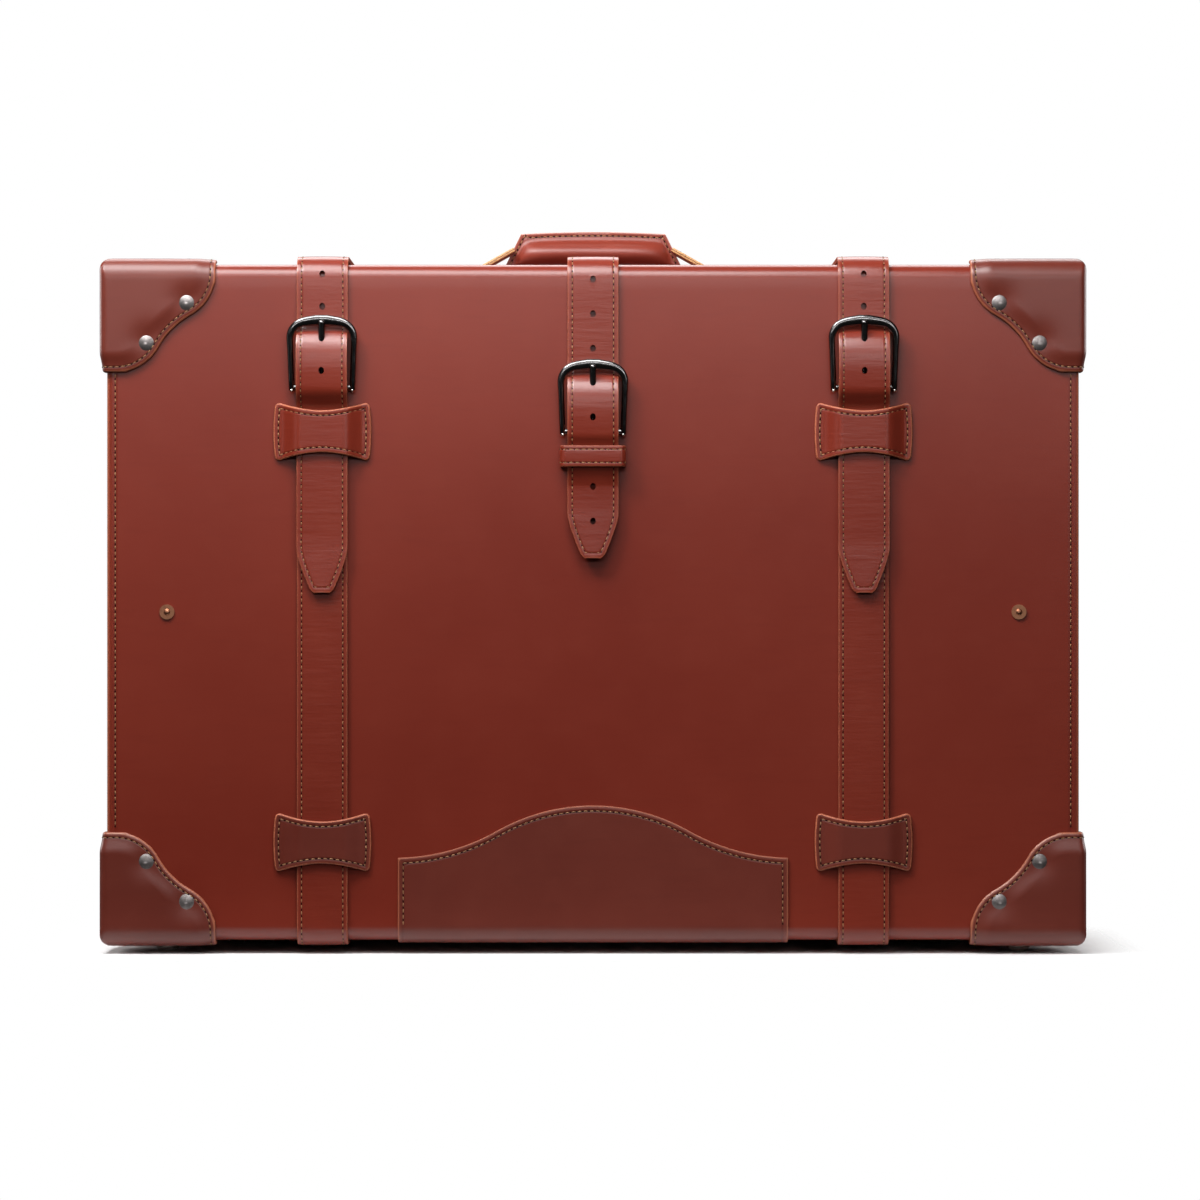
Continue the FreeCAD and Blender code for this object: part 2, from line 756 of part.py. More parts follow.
def make_centre_strap_back():
    crown_depth, crown_height = strap_crown()
    start = back - size.centre_strap_inset
    low = top + strap_middle
    # The strap lies on the base's top and rises a little to clear the lid
    rise_start = parting + size.handle_setback / 2
    strap = strip([(start, low), (rise_start, low), (parting, crown_height), (crown_depth, crown_height)],
                  [size.handle_setback, size.handle_setback], size.strap_thickness, size.strap_width, ALONG_X)
    keep_shape("centre_strap_back", strap.cut([stand(bore, place, Vector(0, 0, 1))
                                               for place, bore in centre_strap_rivet_bores()]))


def window_head(bar):
    """The height at which a strap may turn out through the frame, below the shoulders of its arch."""
    return bar + size.frame_reach - size.frame_top_bar / 2 - size.frame_arch * BROW


def strap_end_points(bar, tip):
    """The loose end: over the front edge, behind the frame's top bar, over the bar and down to the tip."""
    crown_depth, crown_height = strap_crown()
    behind_frame = window_head(bar)
    step_head = bar - size.chape_step_start - size.strap_gap * 4
    step_foot = step_head - size.chape_step
    return [
        (crown_depth, crown_height),
        (front - strap_middle, crown_height),
        (front - strap_middle, behind_frame),
        (front - bulge_middle + size.frame_depth / 2, behind_frame - size.strap_tuck_fall),
        (front - bulge_middle, step_head),
        (front - upper_strap_middle, step_foot),
        (front - upper_strap_middle, tip + size.tip_length),
        (front - upper_strap_middle - size.tip_lift, tip),
    ]


def make_strap_end(side, offset, bar_drop, tip_drop, pitch, holes_below):
    bar = top - bar_drop
    tip = top - tip_drop
    radii = [size.strap_turn] + [size.strap_bend] * 4 + [size.tip_length * 2]
    strap = strip(strap_end_points(bar, tip), radii, size.strap_thickness, size.strap_width, ALONG_X)
    half = size.strap_width / 2
    corner_cuts = []
    for sign in (1, -1):
        outer = flat(sign * (half + size.tip_margin), tip - size.tip_margin)
        cheek = flat(sign * half, tip + size.tip_length)
        point = flat(sign * size.tip_width / 2, outer.y)
        corner_cuts.append(front_prism(face_of([
            bowed(cheek, point, sign * size.tip_bow),
            line(point, outer),
            line(outer, flat(outer.x, cheek.y)),
            line(flat(outer.x, cheek.y), cheek),
        ]), front - bulge_middle * 2, front))
    # Spare holes run up to the top edge and a few places below the tongue
    holes_above = int((top - tongue_hole(bar)) / pitch)
    steps = [step for step in range(-int(holes_below), holes_above + 1) if step]
    holes = [rod(Vector(0, front - bulge_middle * 2, height), Vector(0, front, height), size.hole_radius)
             for height in (tongue_hole(bar) + step * pitch for step in steps)]
    passage = tongue_shape(bar, size.tongue_clearance)
    strap = strap.cut(corner_cuts + holes + [passage])
    keep_shape(f"{side}_strap_end", strap.translated(Vector(offset, 0, 0)))


def tongue_hole(bar):
    return window_head(bar) - size.strap_tuck_fall


# Buckles

def frame_lean_angle():
    return math.degrees(math.atan2(size.frame_lean, size.frame_reach))


def frame_outline(grow, foot):
    """The frame's outer edge, or its inner edge when grow draws it in."""
    side_in, top_in = grow
    foot_half = size.frame_foot_width / 2 - side_in
    head_half = size.frame_top_width / 2 - side_in
    crest = size.frame_reach + size.frame_top_bar / 2 - top_in
    corner = size.frame_corner - side_in
    shoulder = crest - size.frame_arch - corner
    brow_half = head_half - corner
    brow_height = crest - size.frame_arch * BROW
    edges = []
    for sign in (1, -1):
        hip = flat(sign * head_half, shoulder)
        brow = flat(sign * brow_half, brow_height)
        bow = (brow - hip).Length * QUARTER_BOW
        edges += [line(flat(sign * foot_half, foot), hip), bowed(hip, brow, -sign * bow)]
    edges.append(arc(flat(brow_half, brow_height), flat(0, crest), flat(-brow_half, brow_height)))
    edges.append(line(flat(foot_half, foot), flat(-foot_half, foot)))
    return face_of(edges)


def make_buckle_frame(side, offset, bar_drop):
    half_depth = size.frame_depth / 2
    outer = front_prism(frame_outline((0, 0), -size.frame_foot), -half_depth, half_depth)
    inner = front_prism(frame_outline((size.frame_side, size.frame_top_bar), -size.frame_reach),
                        -size.frame_depth, size.frame_depth)
    arch = outer.cut(inner)
    arch = arch.makeFillet(size.frame_edge, [edge for edge in arch.Edges
                                             if abs(abs(edge.CenterOfMass.y) - half_depth) < TINY])
    reach = size.frame_foot_width / 2
    bar = rod(Vector(-reach, 0, 0), Vector(reach, 0, 0), size.bar_radius)
    frame = arch.fuse(bar).removeSplitter()
    frame.Placement = FreeCAD.Placement(Vector(offset, front - bar_offset, top - bar_drop),
                                        Rotation(Vector(1, 0, 0), frame_lean_angle()))
    keep_shape(f"{side}_buckle_frame", frame)


def tongue_shape(bar, clearance):
    """The tongue on its bar at X = 0: an eye, a shaft and a rounded end, grown by clearance."""
    radius = size.tongue_radius + clearance
    half = size.tongue_eye_width / 2 + clearance
    hub = Vector(0, front - bar_offset, bar)
    rest = size.frame_lean + size.frame_depth / 2 + size.tongue_clearance + size.tongue_radius
    slope = Vector(0, -rest, size.frame_reach).normalize()
    end = hub + slope * (size.frame_reach + size.tongue_overhang)
    eye = rod(hub - Vector(half, 0, 0), hub + Vector(half, 0, 0), size.tongue_eye + clearance)
    shape = eye.fuse([rod(hub, end, radius), Part.makeSphere(radius, end)])
    return shape.removeSplitter()


def make_tongue(side, offset, bar_drop):
    bar = top - bar_drop
    hub = Vector(0, front - bar_offset, bar)
    reach = Vector(size.tongue_eye_width, 0, 0)
    tongue = tongue_shape(bar, 0).cut(rod(hub - reach, hub + reach, size.bar_radius + size.bar_clearance))
    keep_shape(f"{side}_buckle_tongue", tongue.translated(Vector(offset, 0, 0)))


# Keepers

def bow_tie(height):
    half = size.keeper_width / 2
    tall = size.keeper_height / 2
    waist = size.keeper_waist / 2
    edges = []
    for sign in (1, -1):
        edges.append(arc(flat(-half, height + sign * tall), flat(0, height + sign * waist),
                         flat(half, height + sign * tall)))
        edges.append(arc(flat(sign * half, height + tall), flat(sign * (half + size.keeper_bulge), height),
                         flat(sign * half, height - tall)))
    return face_of(edges)


def keeper(height, clear, face, outward):
    """A bow-tie strap that bridges what lies under it, clear of the face by the given distance."""
    low = size.strap_gap + size.keeper_thickness / 2
    high = clear + size.keeper_thickness / 2
    shoulder = size.strap_width / 2 + size.keeper_shoulder
    flange = shoulder + (high - low) * KEEPER_SLOPE + size.keeper_bend / 2
    end = size.keeper_width / 2 + size.keeper_bulge * 2
    points = [(-end, low), (-flange, low), (-shoulder, high), (shoulder, high), (flange, low), (end, low)]
    band = strip([(across, face + outward * rise) for across, rise in points], [size.keeper_bend] * 4,
                 size.keeper_thickness, size.keeper_height * 2, LEVEL)
    reach = sorted((face, face + outward * (high + size.keeper_thickness)))
    return band.translated(Vector(0, 0, height)).common(front_prism(bow_tie(height), *reach))


def make_keepers():
    single = size.strap_gap + size.strap_thickness + size.keeper_play
    double = single + size.strap_gap + size.strap_thickness
    upper = top - size.upper_keeper_drop
    lower = bottom + size.lower_keeper_rise
    on_front = [keeper(upper, double, front, -1), keeper(lower, single, front, -1)]
    on_back = [keeper(height, single, back, 1) for height in (upper, lower)]
    back_keepers = []
    for side, sign in (("left", -1), ("right", 1)):
        shift = Vector(sign * size.side_strap_offset, 0, 0)
        keep_shape(f"{side}_keepers", Part.makeCompound([shape.translated(shift) for shape in on_front]))
        back_keepers += [shape.translated(shift) for shape in on_back]
    keep_shape("back_keepers", Part.makeCompound(back_keepers))


def make_centre_loop():
    middle = size.loop_width / 2 - size.loop_thickness / 2
    crest = front - (bulge_middle + size.strap_thickness / 2 - size.loop_sink) - size.loop_thickness / 2
    seat = front - size.strap_gap
    loop = strip([(-middle, seat), (-middle, crest), (middle, crest), (middle, seat)],
                 [size.loop_bend] * 2, size.loop_thickness, size.loop_height, LEVEL)
    keep_shape("centre_loop", loop.translated(Vector(0, 0, top - size.loop_drop)))


# Handle: a padded grip on two leather tails, each held down by a metal loop

def handle_depth():
    return parting + size.handle_setback


def grip_end(height):
    """Half the grip's length at a height above the case."""
    share = (height - size.handle_clear) / (size.handle_rise - size.handle_clear)
    return (size.grip_foot_length + (size.grip_top_length - size.grip_foot_length) * share) / 2


def oval(across, depth, height, centre):
    ring = Part.Ellipse(Vector(), max(depth, height) / 2, min(depth, height) / 2).toShape()
    ring.Placement = FreeCAD.Placement(Vector(across, 0, centre), ALONG_X)
    return Part.Wire(ring)


def make_grip():
    middle = Vector(0, handle_depth(), top)
    foot = grip_end(size.handle_clear)
    head = grip_end(size.handle_rise)
    corners = [flat(-foot, size.handle_clear), flat(foot, size.handle_clear),
               flat(head, size.handle_rise), flat(-head, size.handle_rise)]
    welt = face_of([line(*pair) for pair in zip(corners, corners[1:] + corners[:1])])
    centre = size.handle_clear + size.grip_belly / 2
    reach = size.grip_top_length / 2 - size.grip_welt / 2
    belly = Part.makeLoft([oval(share * reach, size.grip_depth * girth, size.grip_belly * girth, centre)
                           for share, girth in GRIP_SECTIONS], True)
    half = size.grip_welt / 2
    core_half = size.grip_core_length / 2
    core = rod(Vector(-core_half, 0, centre), Vector(core_half, 0, centre), size.grip_core / 2)
    cover = front_prism(welt, -half, half).fuse(belly).cut(core)
    keep_shape("handle_grip", cover.translated(middle))
    cord = doc.addObject("Part::Cylinder", "handle_core")
    cord.setExpression("Radius", "sizes.grip_core / 2")
    cord.setExpression("Height", "sizes.grip_core_length")
    cord.Placement = FreeCAD.Placement(Vector(), Rotation(Vector(0, 0, 1), Vector(1, 0, 0)))
    cord.setExpression("Placement.Base.x", "-sizes.grip_core_length / 2")
    cord.setExpression("Placement.Base.y", f"{PARTING} + sizes.handle_setback")
    cord.setExpression("Placement.Base.z", f"{TOP} + sizes.handle_clear + sizes.grip_belly / 2")
    keep("handle_core", cord)


def make_tails():
    middle = Vector(0, handle_depth(), top)
    lying = size.tail_gap + size.tail_thickness / 2
    leaving = size.handle_clear + size.tail_exit
    start = grip_end(leaving) + size.tail_gap + size.tail_thickness / 2
    landing = size.handle_loop_offset - size.handle_loop_width
    for side, sign in (("left", -1), ("right", 1)):
        points = [(sign * start, leaving), (sign * landing, lying), (sign * size.tail_end, lying)]
        tail = strip(points, [size.tail_bend], size.tail_thickness, size.tail_width, FACING_FRONT)
        keep_shape(f"handle_{side}_tail", tail.translated(middle))


def loop_leg():
    return size.tail_width / 2 + size.handle_loop_thickness


def loop_flange_middle():
    return loop_leg() + size.handle_loop_bend * 2 + size.handle_loop_flange / 2


def top_rivet_length():
    return size.leather + size.handle_loop_thickness


def loop_rivet_places():
    return [Vector(sign * size.handle_loop_offset, handle_depth() + end * loop_flange_middle(),
                   top + size.handle_loop_thickness) for sign in (1, -1) for end in (1, -1)]


def centre_strap_rivet_bores():
    """Where the centre strap is riveted to the top, with the bore of each rivet."""
    length = strap_middle + size.strap_thickness / 2 + size.leather
    bore = Part.makeCylinder(size.rivet_shank + size.rivet_clearance, length + 1, Vector(0, 0, -length))
    seat = top + strap_middle + size.strap_thickness / 2
    inset = size.centre_strap_inset + size.strap_width / 3
    return [(Vector(sign * size.strap_width / 4, back - inset, seat), bore) for sign in (1, -1)]


def make_handle_loops():
    flange = loop_flange_middle() + size.handle_loop_flange / 2
    leg = loop_leg()
    low = size.handle_loop_thickness / 2
    high = size.tail_gap * 2 + size.tail_thickness + low
    points = [(-flange, low), (-leg, low), (-leg, high), (leg, high), (leg, low), (flange, low)]
    loop = strip(points, [size.handle_loop_bend] * 4, size.handle_loop_thickness, size.handle_loop_width,
                 ALONG_X)
    loops = [loop.translated(Vector(sign * size.handle_loop_offset, handle_depth(), top))
             for sign in (1, -1)]
    length = top_rivet_length()
    bore = Part.makeCylinder(size.rivet_shank + size.rivet_clearance, length + 1, Vector(0, 0, -length))
    bores = [stand(bore, place, Vector(0, 0, 1)) for place in loop_rivet_places()]
    keep_shape("handle_loops", Part.makeCompound([shape.cut(bores) for shape in loops]))
    small = size.handle_loop_width / 2
    rivet = domed_rivet(small, size.rivet_rise, size.rivet_shank, length)
    rivets = [stand(rivet, place, Vector(0, 0, 1)) for place in loop_rivet_places()]
    strap_length = strap_middle + size.strap_thickness / 2 + size.leather
    strap_rivet = domed_rivet(size.rivet_radius, size.rivet_rise, size.rivet_shank, strap_length)
    strap_seats = centre_strap_rivet_bores()
    rivets += [stand(strap_rivet, place, Vector(0, 0, 1)) for place, _ in strap_seats]
    keep_shape("top_rivets", Part.makeCompound(rivets))
    return bores + [stand(strap_bore, place, Vector(0, 0, 1)) for place, strap_bore in strap_seats]


# Hinges under the bottom edge

def make_hinges():
    half = size.hinge_length / 2
    knuckle = size.hinge_length / 4
    radius = size.knuckle_radius
    axis = Vector(0, parting, hinge_axis)
    clear = radius + size.knuckle_gap
    past_end = Vector(half + size.knuckle_gap, 0, 0)
    bore = rod(axis - past_end, axis + past_end, size.pin_radius + size.pin_clearance)

    def leaf(direction, spans):
        near, far = sorted((parting + direction * clear, parting + direction * size.leaf_width))
        under = bottom - size.leaf_thickness
        plate = box_between((-half, near, under), (half, far, bottom))
        pieces = []
        for low, high in spans:
            pieces.append(rod(axis + Vector(low, 0, 0), axis + Vector(high, 0, 0), radius))
            reach = sorted((parting, parting + direction * (clear + size.leaf_thickness)))
            pieces.append(box_between((low, reach[0], under), (high, reach[1], bottom - size.parting_gap)))
        return plate.fuse(pieces).cut(bore).removeSplitter()

    middle = knuckle - size.knuckle_gap / 2
    outer = knuckle + size.knuckle_gap / 2
    leaves = {
        "hinge_base_leaves": leaf(1, [(-half, -outer), (outer, half)]),
        "hinge_lid_leaves": leaf(-1, [(-middle, middle)]),
    }
    for name, shape in leaves.items():
        keep_shape(name, Part.makeCompound([shape.translated(Vector(share * size.hinge_offset, 0, 0))
                                            for share in (-1, 0, 1)]))
    pins = []
    for side, share in (("left", -1), ("middle", 0), ("right", 1)):
        pin = doc.addObject("Part::Cylinder", f"{side}_hinge_pin")
        pin.setExpression("Radius", "sizes.pin_radius")
        pin.setExpression("Height", "sizes.hinge_length")
        pin.Placement = FreeCAD.Placement(Vector(), Rotation(Vector(0, 0, 1), Vector(1, 0, 0)))
        pin.setExpression("Placement.Base.x", f"{share} * sizes.hinge_offset - sizes.hinge_length / 2")
        pin.setExpression("Placement.Base.y", PARTING)
        pin.setExpression("Placement.Base.z", HINGE_AXIS)
        pins.append(pin)
    keep_group("hinge_pins", pins)


def build():
    lid_name, lid_face, lid_lining = make_boards("lid")
    base_name, base_face, base_lining = make_boards("base")
    rivet_tool = doc.addObject("Part::Feature", "copper_bores")
    rivet_tool.Shape = Part.makeCompound(copper_bores())
    keep(lid_name, difference(lid_name, lid_face, rivet_tool))
    keep("lid_lining", difference("lid_lining", lid_lining, rivet_tool))
    keep(base_name, base_face)
    keep("base_lining", base_lining)
    make_lip()
    bores = make_caps()
    make_feet("lid", 1)
    make_feet("base", -1)
    bores["lid"] += copper_bores()
    bores["base"] += make_handle_loops()
    make_cover("lid", bores["lid"])
    make_cover("base", bores["base"])
    make_patch()
    make_document_strap()
    make_keepers()
    make_centre_loop()
    make_centre_chape()
    make_centre_strap_back()
    make_grip()
    make_tails()
    make_hinges()
    for side, sign in (("left", -1), ("right", 1)):
        make_side_strap_back(side, sign)
        make_side_strap_front(side, sign)
    side_strap = (size.side_bar_drop, size.side_tip_drop, size.side_hole_pitch, size.side_holes_below)
    centre_strap = (size.centre_bar_drop, size.centre_tip_drop, size.centre_hole_pitch,
                    size.centre_holes_below)
    straps = (
        ("left", -size.side_strap_offset, side_strap),
        ("centre", 0, centre_strap),
        ("right", size.side_strap_offset, side_strap),
    )
    for side, offset, strap in straps:
        bar_drop = strap[0]
        make_strap_end(side, offset, *strap)
        make_buckle_frame(side, offset, bar_drop)
        make_tongue(side, offset, bar_drop)


build()
doc.recompute()
for item in doc.Objects:
    if {"Invalid", "Error"} & set(item.State):
        raise RuntimeError(f"{item.Label} failed to build: {item.State}")
for name, item in nodes.items():
    if item.Shape.isNull() or not item.Shape.isValid():
        raise RuntimeError(f"{name} has no valid shape")

os.makedirs("parts", exist_ok=True)
for name, item in nodes.items():
    item.Shape.exportStep(f"parts/{name}.step")
print(len(nodes), "sub-parts written")
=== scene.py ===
import json
import math

import bpy
import numpy as np
from mathutils import Matrix, Vector


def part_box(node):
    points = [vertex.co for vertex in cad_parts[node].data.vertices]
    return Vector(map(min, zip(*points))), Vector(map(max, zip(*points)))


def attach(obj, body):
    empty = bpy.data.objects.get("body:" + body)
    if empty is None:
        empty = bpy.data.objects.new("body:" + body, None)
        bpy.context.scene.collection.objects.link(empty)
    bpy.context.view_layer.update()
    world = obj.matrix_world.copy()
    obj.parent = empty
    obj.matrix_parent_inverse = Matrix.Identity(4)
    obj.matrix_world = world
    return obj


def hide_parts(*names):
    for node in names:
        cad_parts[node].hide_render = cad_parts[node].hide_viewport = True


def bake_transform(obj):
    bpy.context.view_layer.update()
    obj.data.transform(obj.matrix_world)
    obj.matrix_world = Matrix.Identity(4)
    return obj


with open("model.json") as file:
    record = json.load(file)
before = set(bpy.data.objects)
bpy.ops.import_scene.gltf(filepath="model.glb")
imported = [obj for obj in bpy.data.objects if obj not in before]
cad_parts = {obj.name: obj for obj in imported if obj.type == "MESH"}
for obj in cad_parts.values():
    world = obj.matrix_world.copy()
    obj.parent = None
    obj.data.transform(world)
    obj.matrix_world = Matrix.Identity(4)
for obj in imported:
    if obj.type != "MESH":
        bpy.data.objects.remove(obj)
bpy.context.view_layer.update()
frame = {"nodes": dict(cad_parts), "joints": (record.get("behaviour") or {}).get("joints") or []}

# Places read from the frame, in metres: X is the width, Y runs to the back, Z is up
cover_low, cover_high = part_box("lid_cover")
front, bottom = cover_low.y, cover_low.z
half_width, lid_rim, top = cover_high
base_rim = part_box("base_cover")[0].y
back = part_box("base_cover")[1].y
parting = (lid_rim + base_rim) / 2
middle = Vector((0, (front + back) / 2, (bottom + top) / 2))
joint_place = {joint["name"]: Vector(joint.get("pos_m", (0, 0, 0))) for joint in frame["joints"]}

# Sizes of the leather work and its metal
MM = 0.001
LEATHER = 2.5 * MM
EDGE_RADIUS = 10 * MM
STRAP_HALF = 17 * MM
STRAP_THICK = 3 * MM
STRAP_GAP = 0.3 * MM
STRAP_LIFT = 2.5 * MM
STRAP_TURN = 15 * MM
STRAP_BEND = 7.8 * MM
STRAP_MIDDLE = STRAP_GAP + STRAP_THICK / 2
UPPER_MIDDLE = STRAP_MIDDLE + STRAP_GAP + STRAP_THICK
UNDER_TURN = EDGE_RADIUS + STRAP_MIDDLE
STRAP_SEAM = 3.2 * MM
UPPER_CROWN = 0.35 * MM
LOWER_CROWN = 0.3 * MM
LOWER_SEAM_START = 34 * MM
BAR_OFFSET = 5.15 * MM
BAR_TURN = 3.35 * MM
BAR_BEND = BAR_TURN * 0.98
OVER_BAR = BAR_OFFSET + BAR_TURN
BULGE = OVER_BAR + STRAP_THICK + STRAP_GAP
CHAPE_STEP = 10.5 * MM
CHAPE_START = 1.5 * MM
CHAPE_BEND = 4.2 * MM
CHAPE_BACK = 4 * MM
CHAPE_LENGTH = 40 * MM
CHAPE_SEAM_START = 30 * MM
WINDOW_HEAD = 39.3 * MM
TUCK_FALL = 6.7 * MM
BOW_START = 0.4 * MM
BOW_FALL = 8.6 * MM
BOW_MIDDLE = 14 * MM
BOW_PROUD = (0.2 * MM, 1.2 * MM, 0.3 * MM)
BOW_RADII = (22 * MM, 80 * MM, 12 * MM)
SIDE_HOLE_PITCH = 21.7 * MM
SIDE_HOLES_BELOW = 1
CENTRE_HOLE_PITCH = 23.1 * MM
CENTRE_HOLES_BELOW = 4
# Steps of each strap's fall below its bar, as pairs of depth and drop
SIDE_FALL = ((UPPER_MIDDLE, 13.2 * MM),)
CENTRE_FALL = ((9 * MM, 10 * MM), (8.2 * MM, 23 * MM), (UPPER_MIDDLE, 36 * MM))
CENTRE_RISE = 22.5 * MM
CENTRE_SWEEP = 45 * MM
TIP_LENGTH = 24 * MM
TIP_TAPER = 29 * MM
TIP_HALF = 6.75 * MM
TIP_LIFT = 1.5 * MM
TIP_CORNER = 3 * MM
HOLE_RADIUS = 2.1 * MM
HOLE_SHAPE = (0.9, 1, 1.12, 1)
HOLE_DEPTH = 40 * MM
SLOT_HALF = 3.2 * MM
SLOT_TALL = 6.5 * MM
HINGE_OVERLAP = 20 * MM
LOOP_THICK = 2.2 * MM
LOOP_SEAM = 2.6 * MM
LOOP_CROWN = 0.25 * MM
LOOP_TURN = 3 * MM
FRAME_FOOT = 20.2 * MM
FRAME_DROP = 1.9 * MM
FRAME_SHOULDER = 21.8 * MM
FRAME_SHOULDER_HEIGHT = 41.6 * MM
FRAME_CREST = 46.2 * MM
FRAME_LEAN = math.atan2(3.05, 44.7)
FRAME_DEEP = 2.2 * MM
FRAME_SIDES = 16
FRAME_ROUND = 11 * MM
FRAME_ARCH = 50 * MM
# Half the frame's breadth at its sides, and what its head and the middle of its arch add
FRAME_BREADTH = 2.0 * MM
HEAD_BREADTH = 0.8 * MM
ARCH_BREADTH = 0.7 * MM
# The power that turns a round section into one with fuller corners
FRAME_SQUARE = 0.75
BAR_RADIUS = 1.75 * MM
BAR_END_SIZE = (1.5 * MM, 1.6 * MM, 1.3 * MM)
BAR_END_PLACE = Vector((FRAME_FOOT, -0.9 * MM, -2.0 * MM))
ARCH_HALF = 16 * MM
TONGUE_END = 40 * MM
TONGUE_SHORTER = 3.2 * MM
TONGUE_WIDER = 1.2
CAP_REACH = 73 * MM
CAP_DEPTH = 58 * MM
CAP_LOBE = 33 * MM
CAP_NOTCH = 53 * MM
CAP_STRAIGHT = 6 * MM
CAP_PROUD = 3.5 * MM
CAP_CORNER = 7 * MM
CAP_UPRIGHT = 4 * MM
CAP_SEAM = 3.8 * MM
CAP_ROUND = 1.0 * MM
CAP_VOXEL = 0.95 * MM
CAP_CUT = 3.4 * MM
# The caps swell from a little way inside their edge, most on the front, less at the end and least on top
CAP_SWELL = (1.4 * MM, 2.1 * MM, 0.5 * MM)
CAP_SWELL_START = 2.5 * MM
CAP_SWELL_RUN = 12 * MM
RIVET_DOME = 1.4 * MM
RIVET_APART = 6 * MM
CAP_DIMPLE = 10.5 * MM
CAP_UNDERLAP = 14 * MM
CAP_INWARDS = np.array((1, 1, -1))
KEEPER_HALF = 31.25 * MM
KEEPER_TALL = 20.25 * MM
KEEPER_WAIST = 14 * MM
KEEPER_BULGE = 1.5 * MM
KEEPER_CORNER = 3.8 * MM
KEEPER_THICK = 2.5 * MM
KEEPER_SEAM = 3.4 * MM
KEEPER_FOOT = KEEPER_HALF - 2.5 * MM
KEEPER_SHOULDER = STRAP_HALF - 3 * MM
KEEPER_FULLNESS = 1.16
KEEPER_CLEAR = 0.5 * MM
PATCH_HALF = 130.5 * MM
PATCH_SHOULDER = 55.5 * MM
PATCH_PEAK = 90.5 * MM
PATCH_CROWN = 130 * MM
PATCH_SWEEP = 140 * MM
PATCH_THICK = 1.6 * MM
PATCH_SEAM = 3.6 * MM
GRIP_SIDES = 32
GRIP_STATIONS = 72
GRIP_SAG = 3.5 * MM
GRIP_TAPER = 11 * MM
GRIP_WELT = 2.3 * MM
GRIP_SEAM = 2.8 * MM
GRIP_ARCH = 0.06
GRIP_BELLY_TOP = 0.72
GRIP_CLIMB = 0.9118
TAIL_THICK = 3 * MM
TAIL_LANDING = 84 * MM
TAIL_TURN = 15 * MM
TAIL_TUCK = Vector((-5 * MM, 3 * MM))
TAIL_CROWN = 0.2 * MM
COVER_SEAM = 5.3 * MM
COVER_ROLL = 1.0 * MM
STRAP_BEVEL = 0.9 * MM
THIN_BEVEL = 0.6 * MM
STITCH_PITCH = 4.1 * MM
STITCH_LENGTH = 2.8 * MM
STITCH_RADIUS = 0.46 * MM
NEEDLE_LENGTH = 1.9 * MM
NEEDLE_RADIUS = 0.6 * MM
NEEDLE_SINK = 0.22 * MM
STITCH_SINK = 0.05 * MM
RUN_STEP = 8 * MM
ARC_STEP = math.radians(9)
EDGE_ANGLE = math.radians(50)
# How far from a cut edge the leather turns down, and where its columns lie
ROLL_REACH = 5 * MM
EDGE_COLUMNS = (0, 1 * MM, 2 * MM, 3.2 * MM, 5 * MM, 7.6 * MM, 12.4 * MM)

# The share of nearness to a cut edge at which every seam lies
SEAM_SHARE = 0.57

# Colours that all hides share
TAN_HIDE = (0.40, 0.125, 0.062)
GLUE_LINE = (0.05, 0.015, 0.01)

X_AXIS, Y_AXIS, Z_AXIS = Vector((1, 0, 0)), Vector((0, 1, 0)), Vector((0, 0, 1))

# The middle of a strap's thickness, over the top and under the bottom
strap_crown = top + STRAP_LIFT + STRAP_THICK / 2
strap_under = bottom - STRAP_MIDDLE
# The corner of the case that the first cap is made on
cap_corner = Vector((-half_width, front, top))


# Finishes

class Value:
    """A socket of a material. Sums on it add Math nodes."""

    def __init__(self, finish, socket):
        self.finish = finish
        self.socket = socket

    def math(self, operation, first, second=0.0):
        settings = {"operation": operation}
        return self.finish.node("ShaderNodeMath", "Value", settings, {0: first, 1: second})

    def __add__(self, other):
        return self.math("ADD", self, other)

    def __sub__(self, other):
        return self.math("SUBTRACT", self, other)

    def __mul__(self, other):
        return self.math("MULTIPLY", self, other)

    def __truediv__(self, other):
        return self.math("DIVIDE", self, other)

    def __rsub__(self, other):
        return self.math("SUBTRACT", other, self)

    def __abs__(self):
        return self.math("ABSOLUTE", self)

    def clamp(self):
        return self.math("MINIMUM", self.math("MAXIMUM", self, 0.0), 1.0)

    def beside(self, output):
        """Another output of the node that this one comes from."""
        return Value(self.finish, self.socket.node.outputs[output])

    __radd__ = __add__
    __rmul__ = __mul__


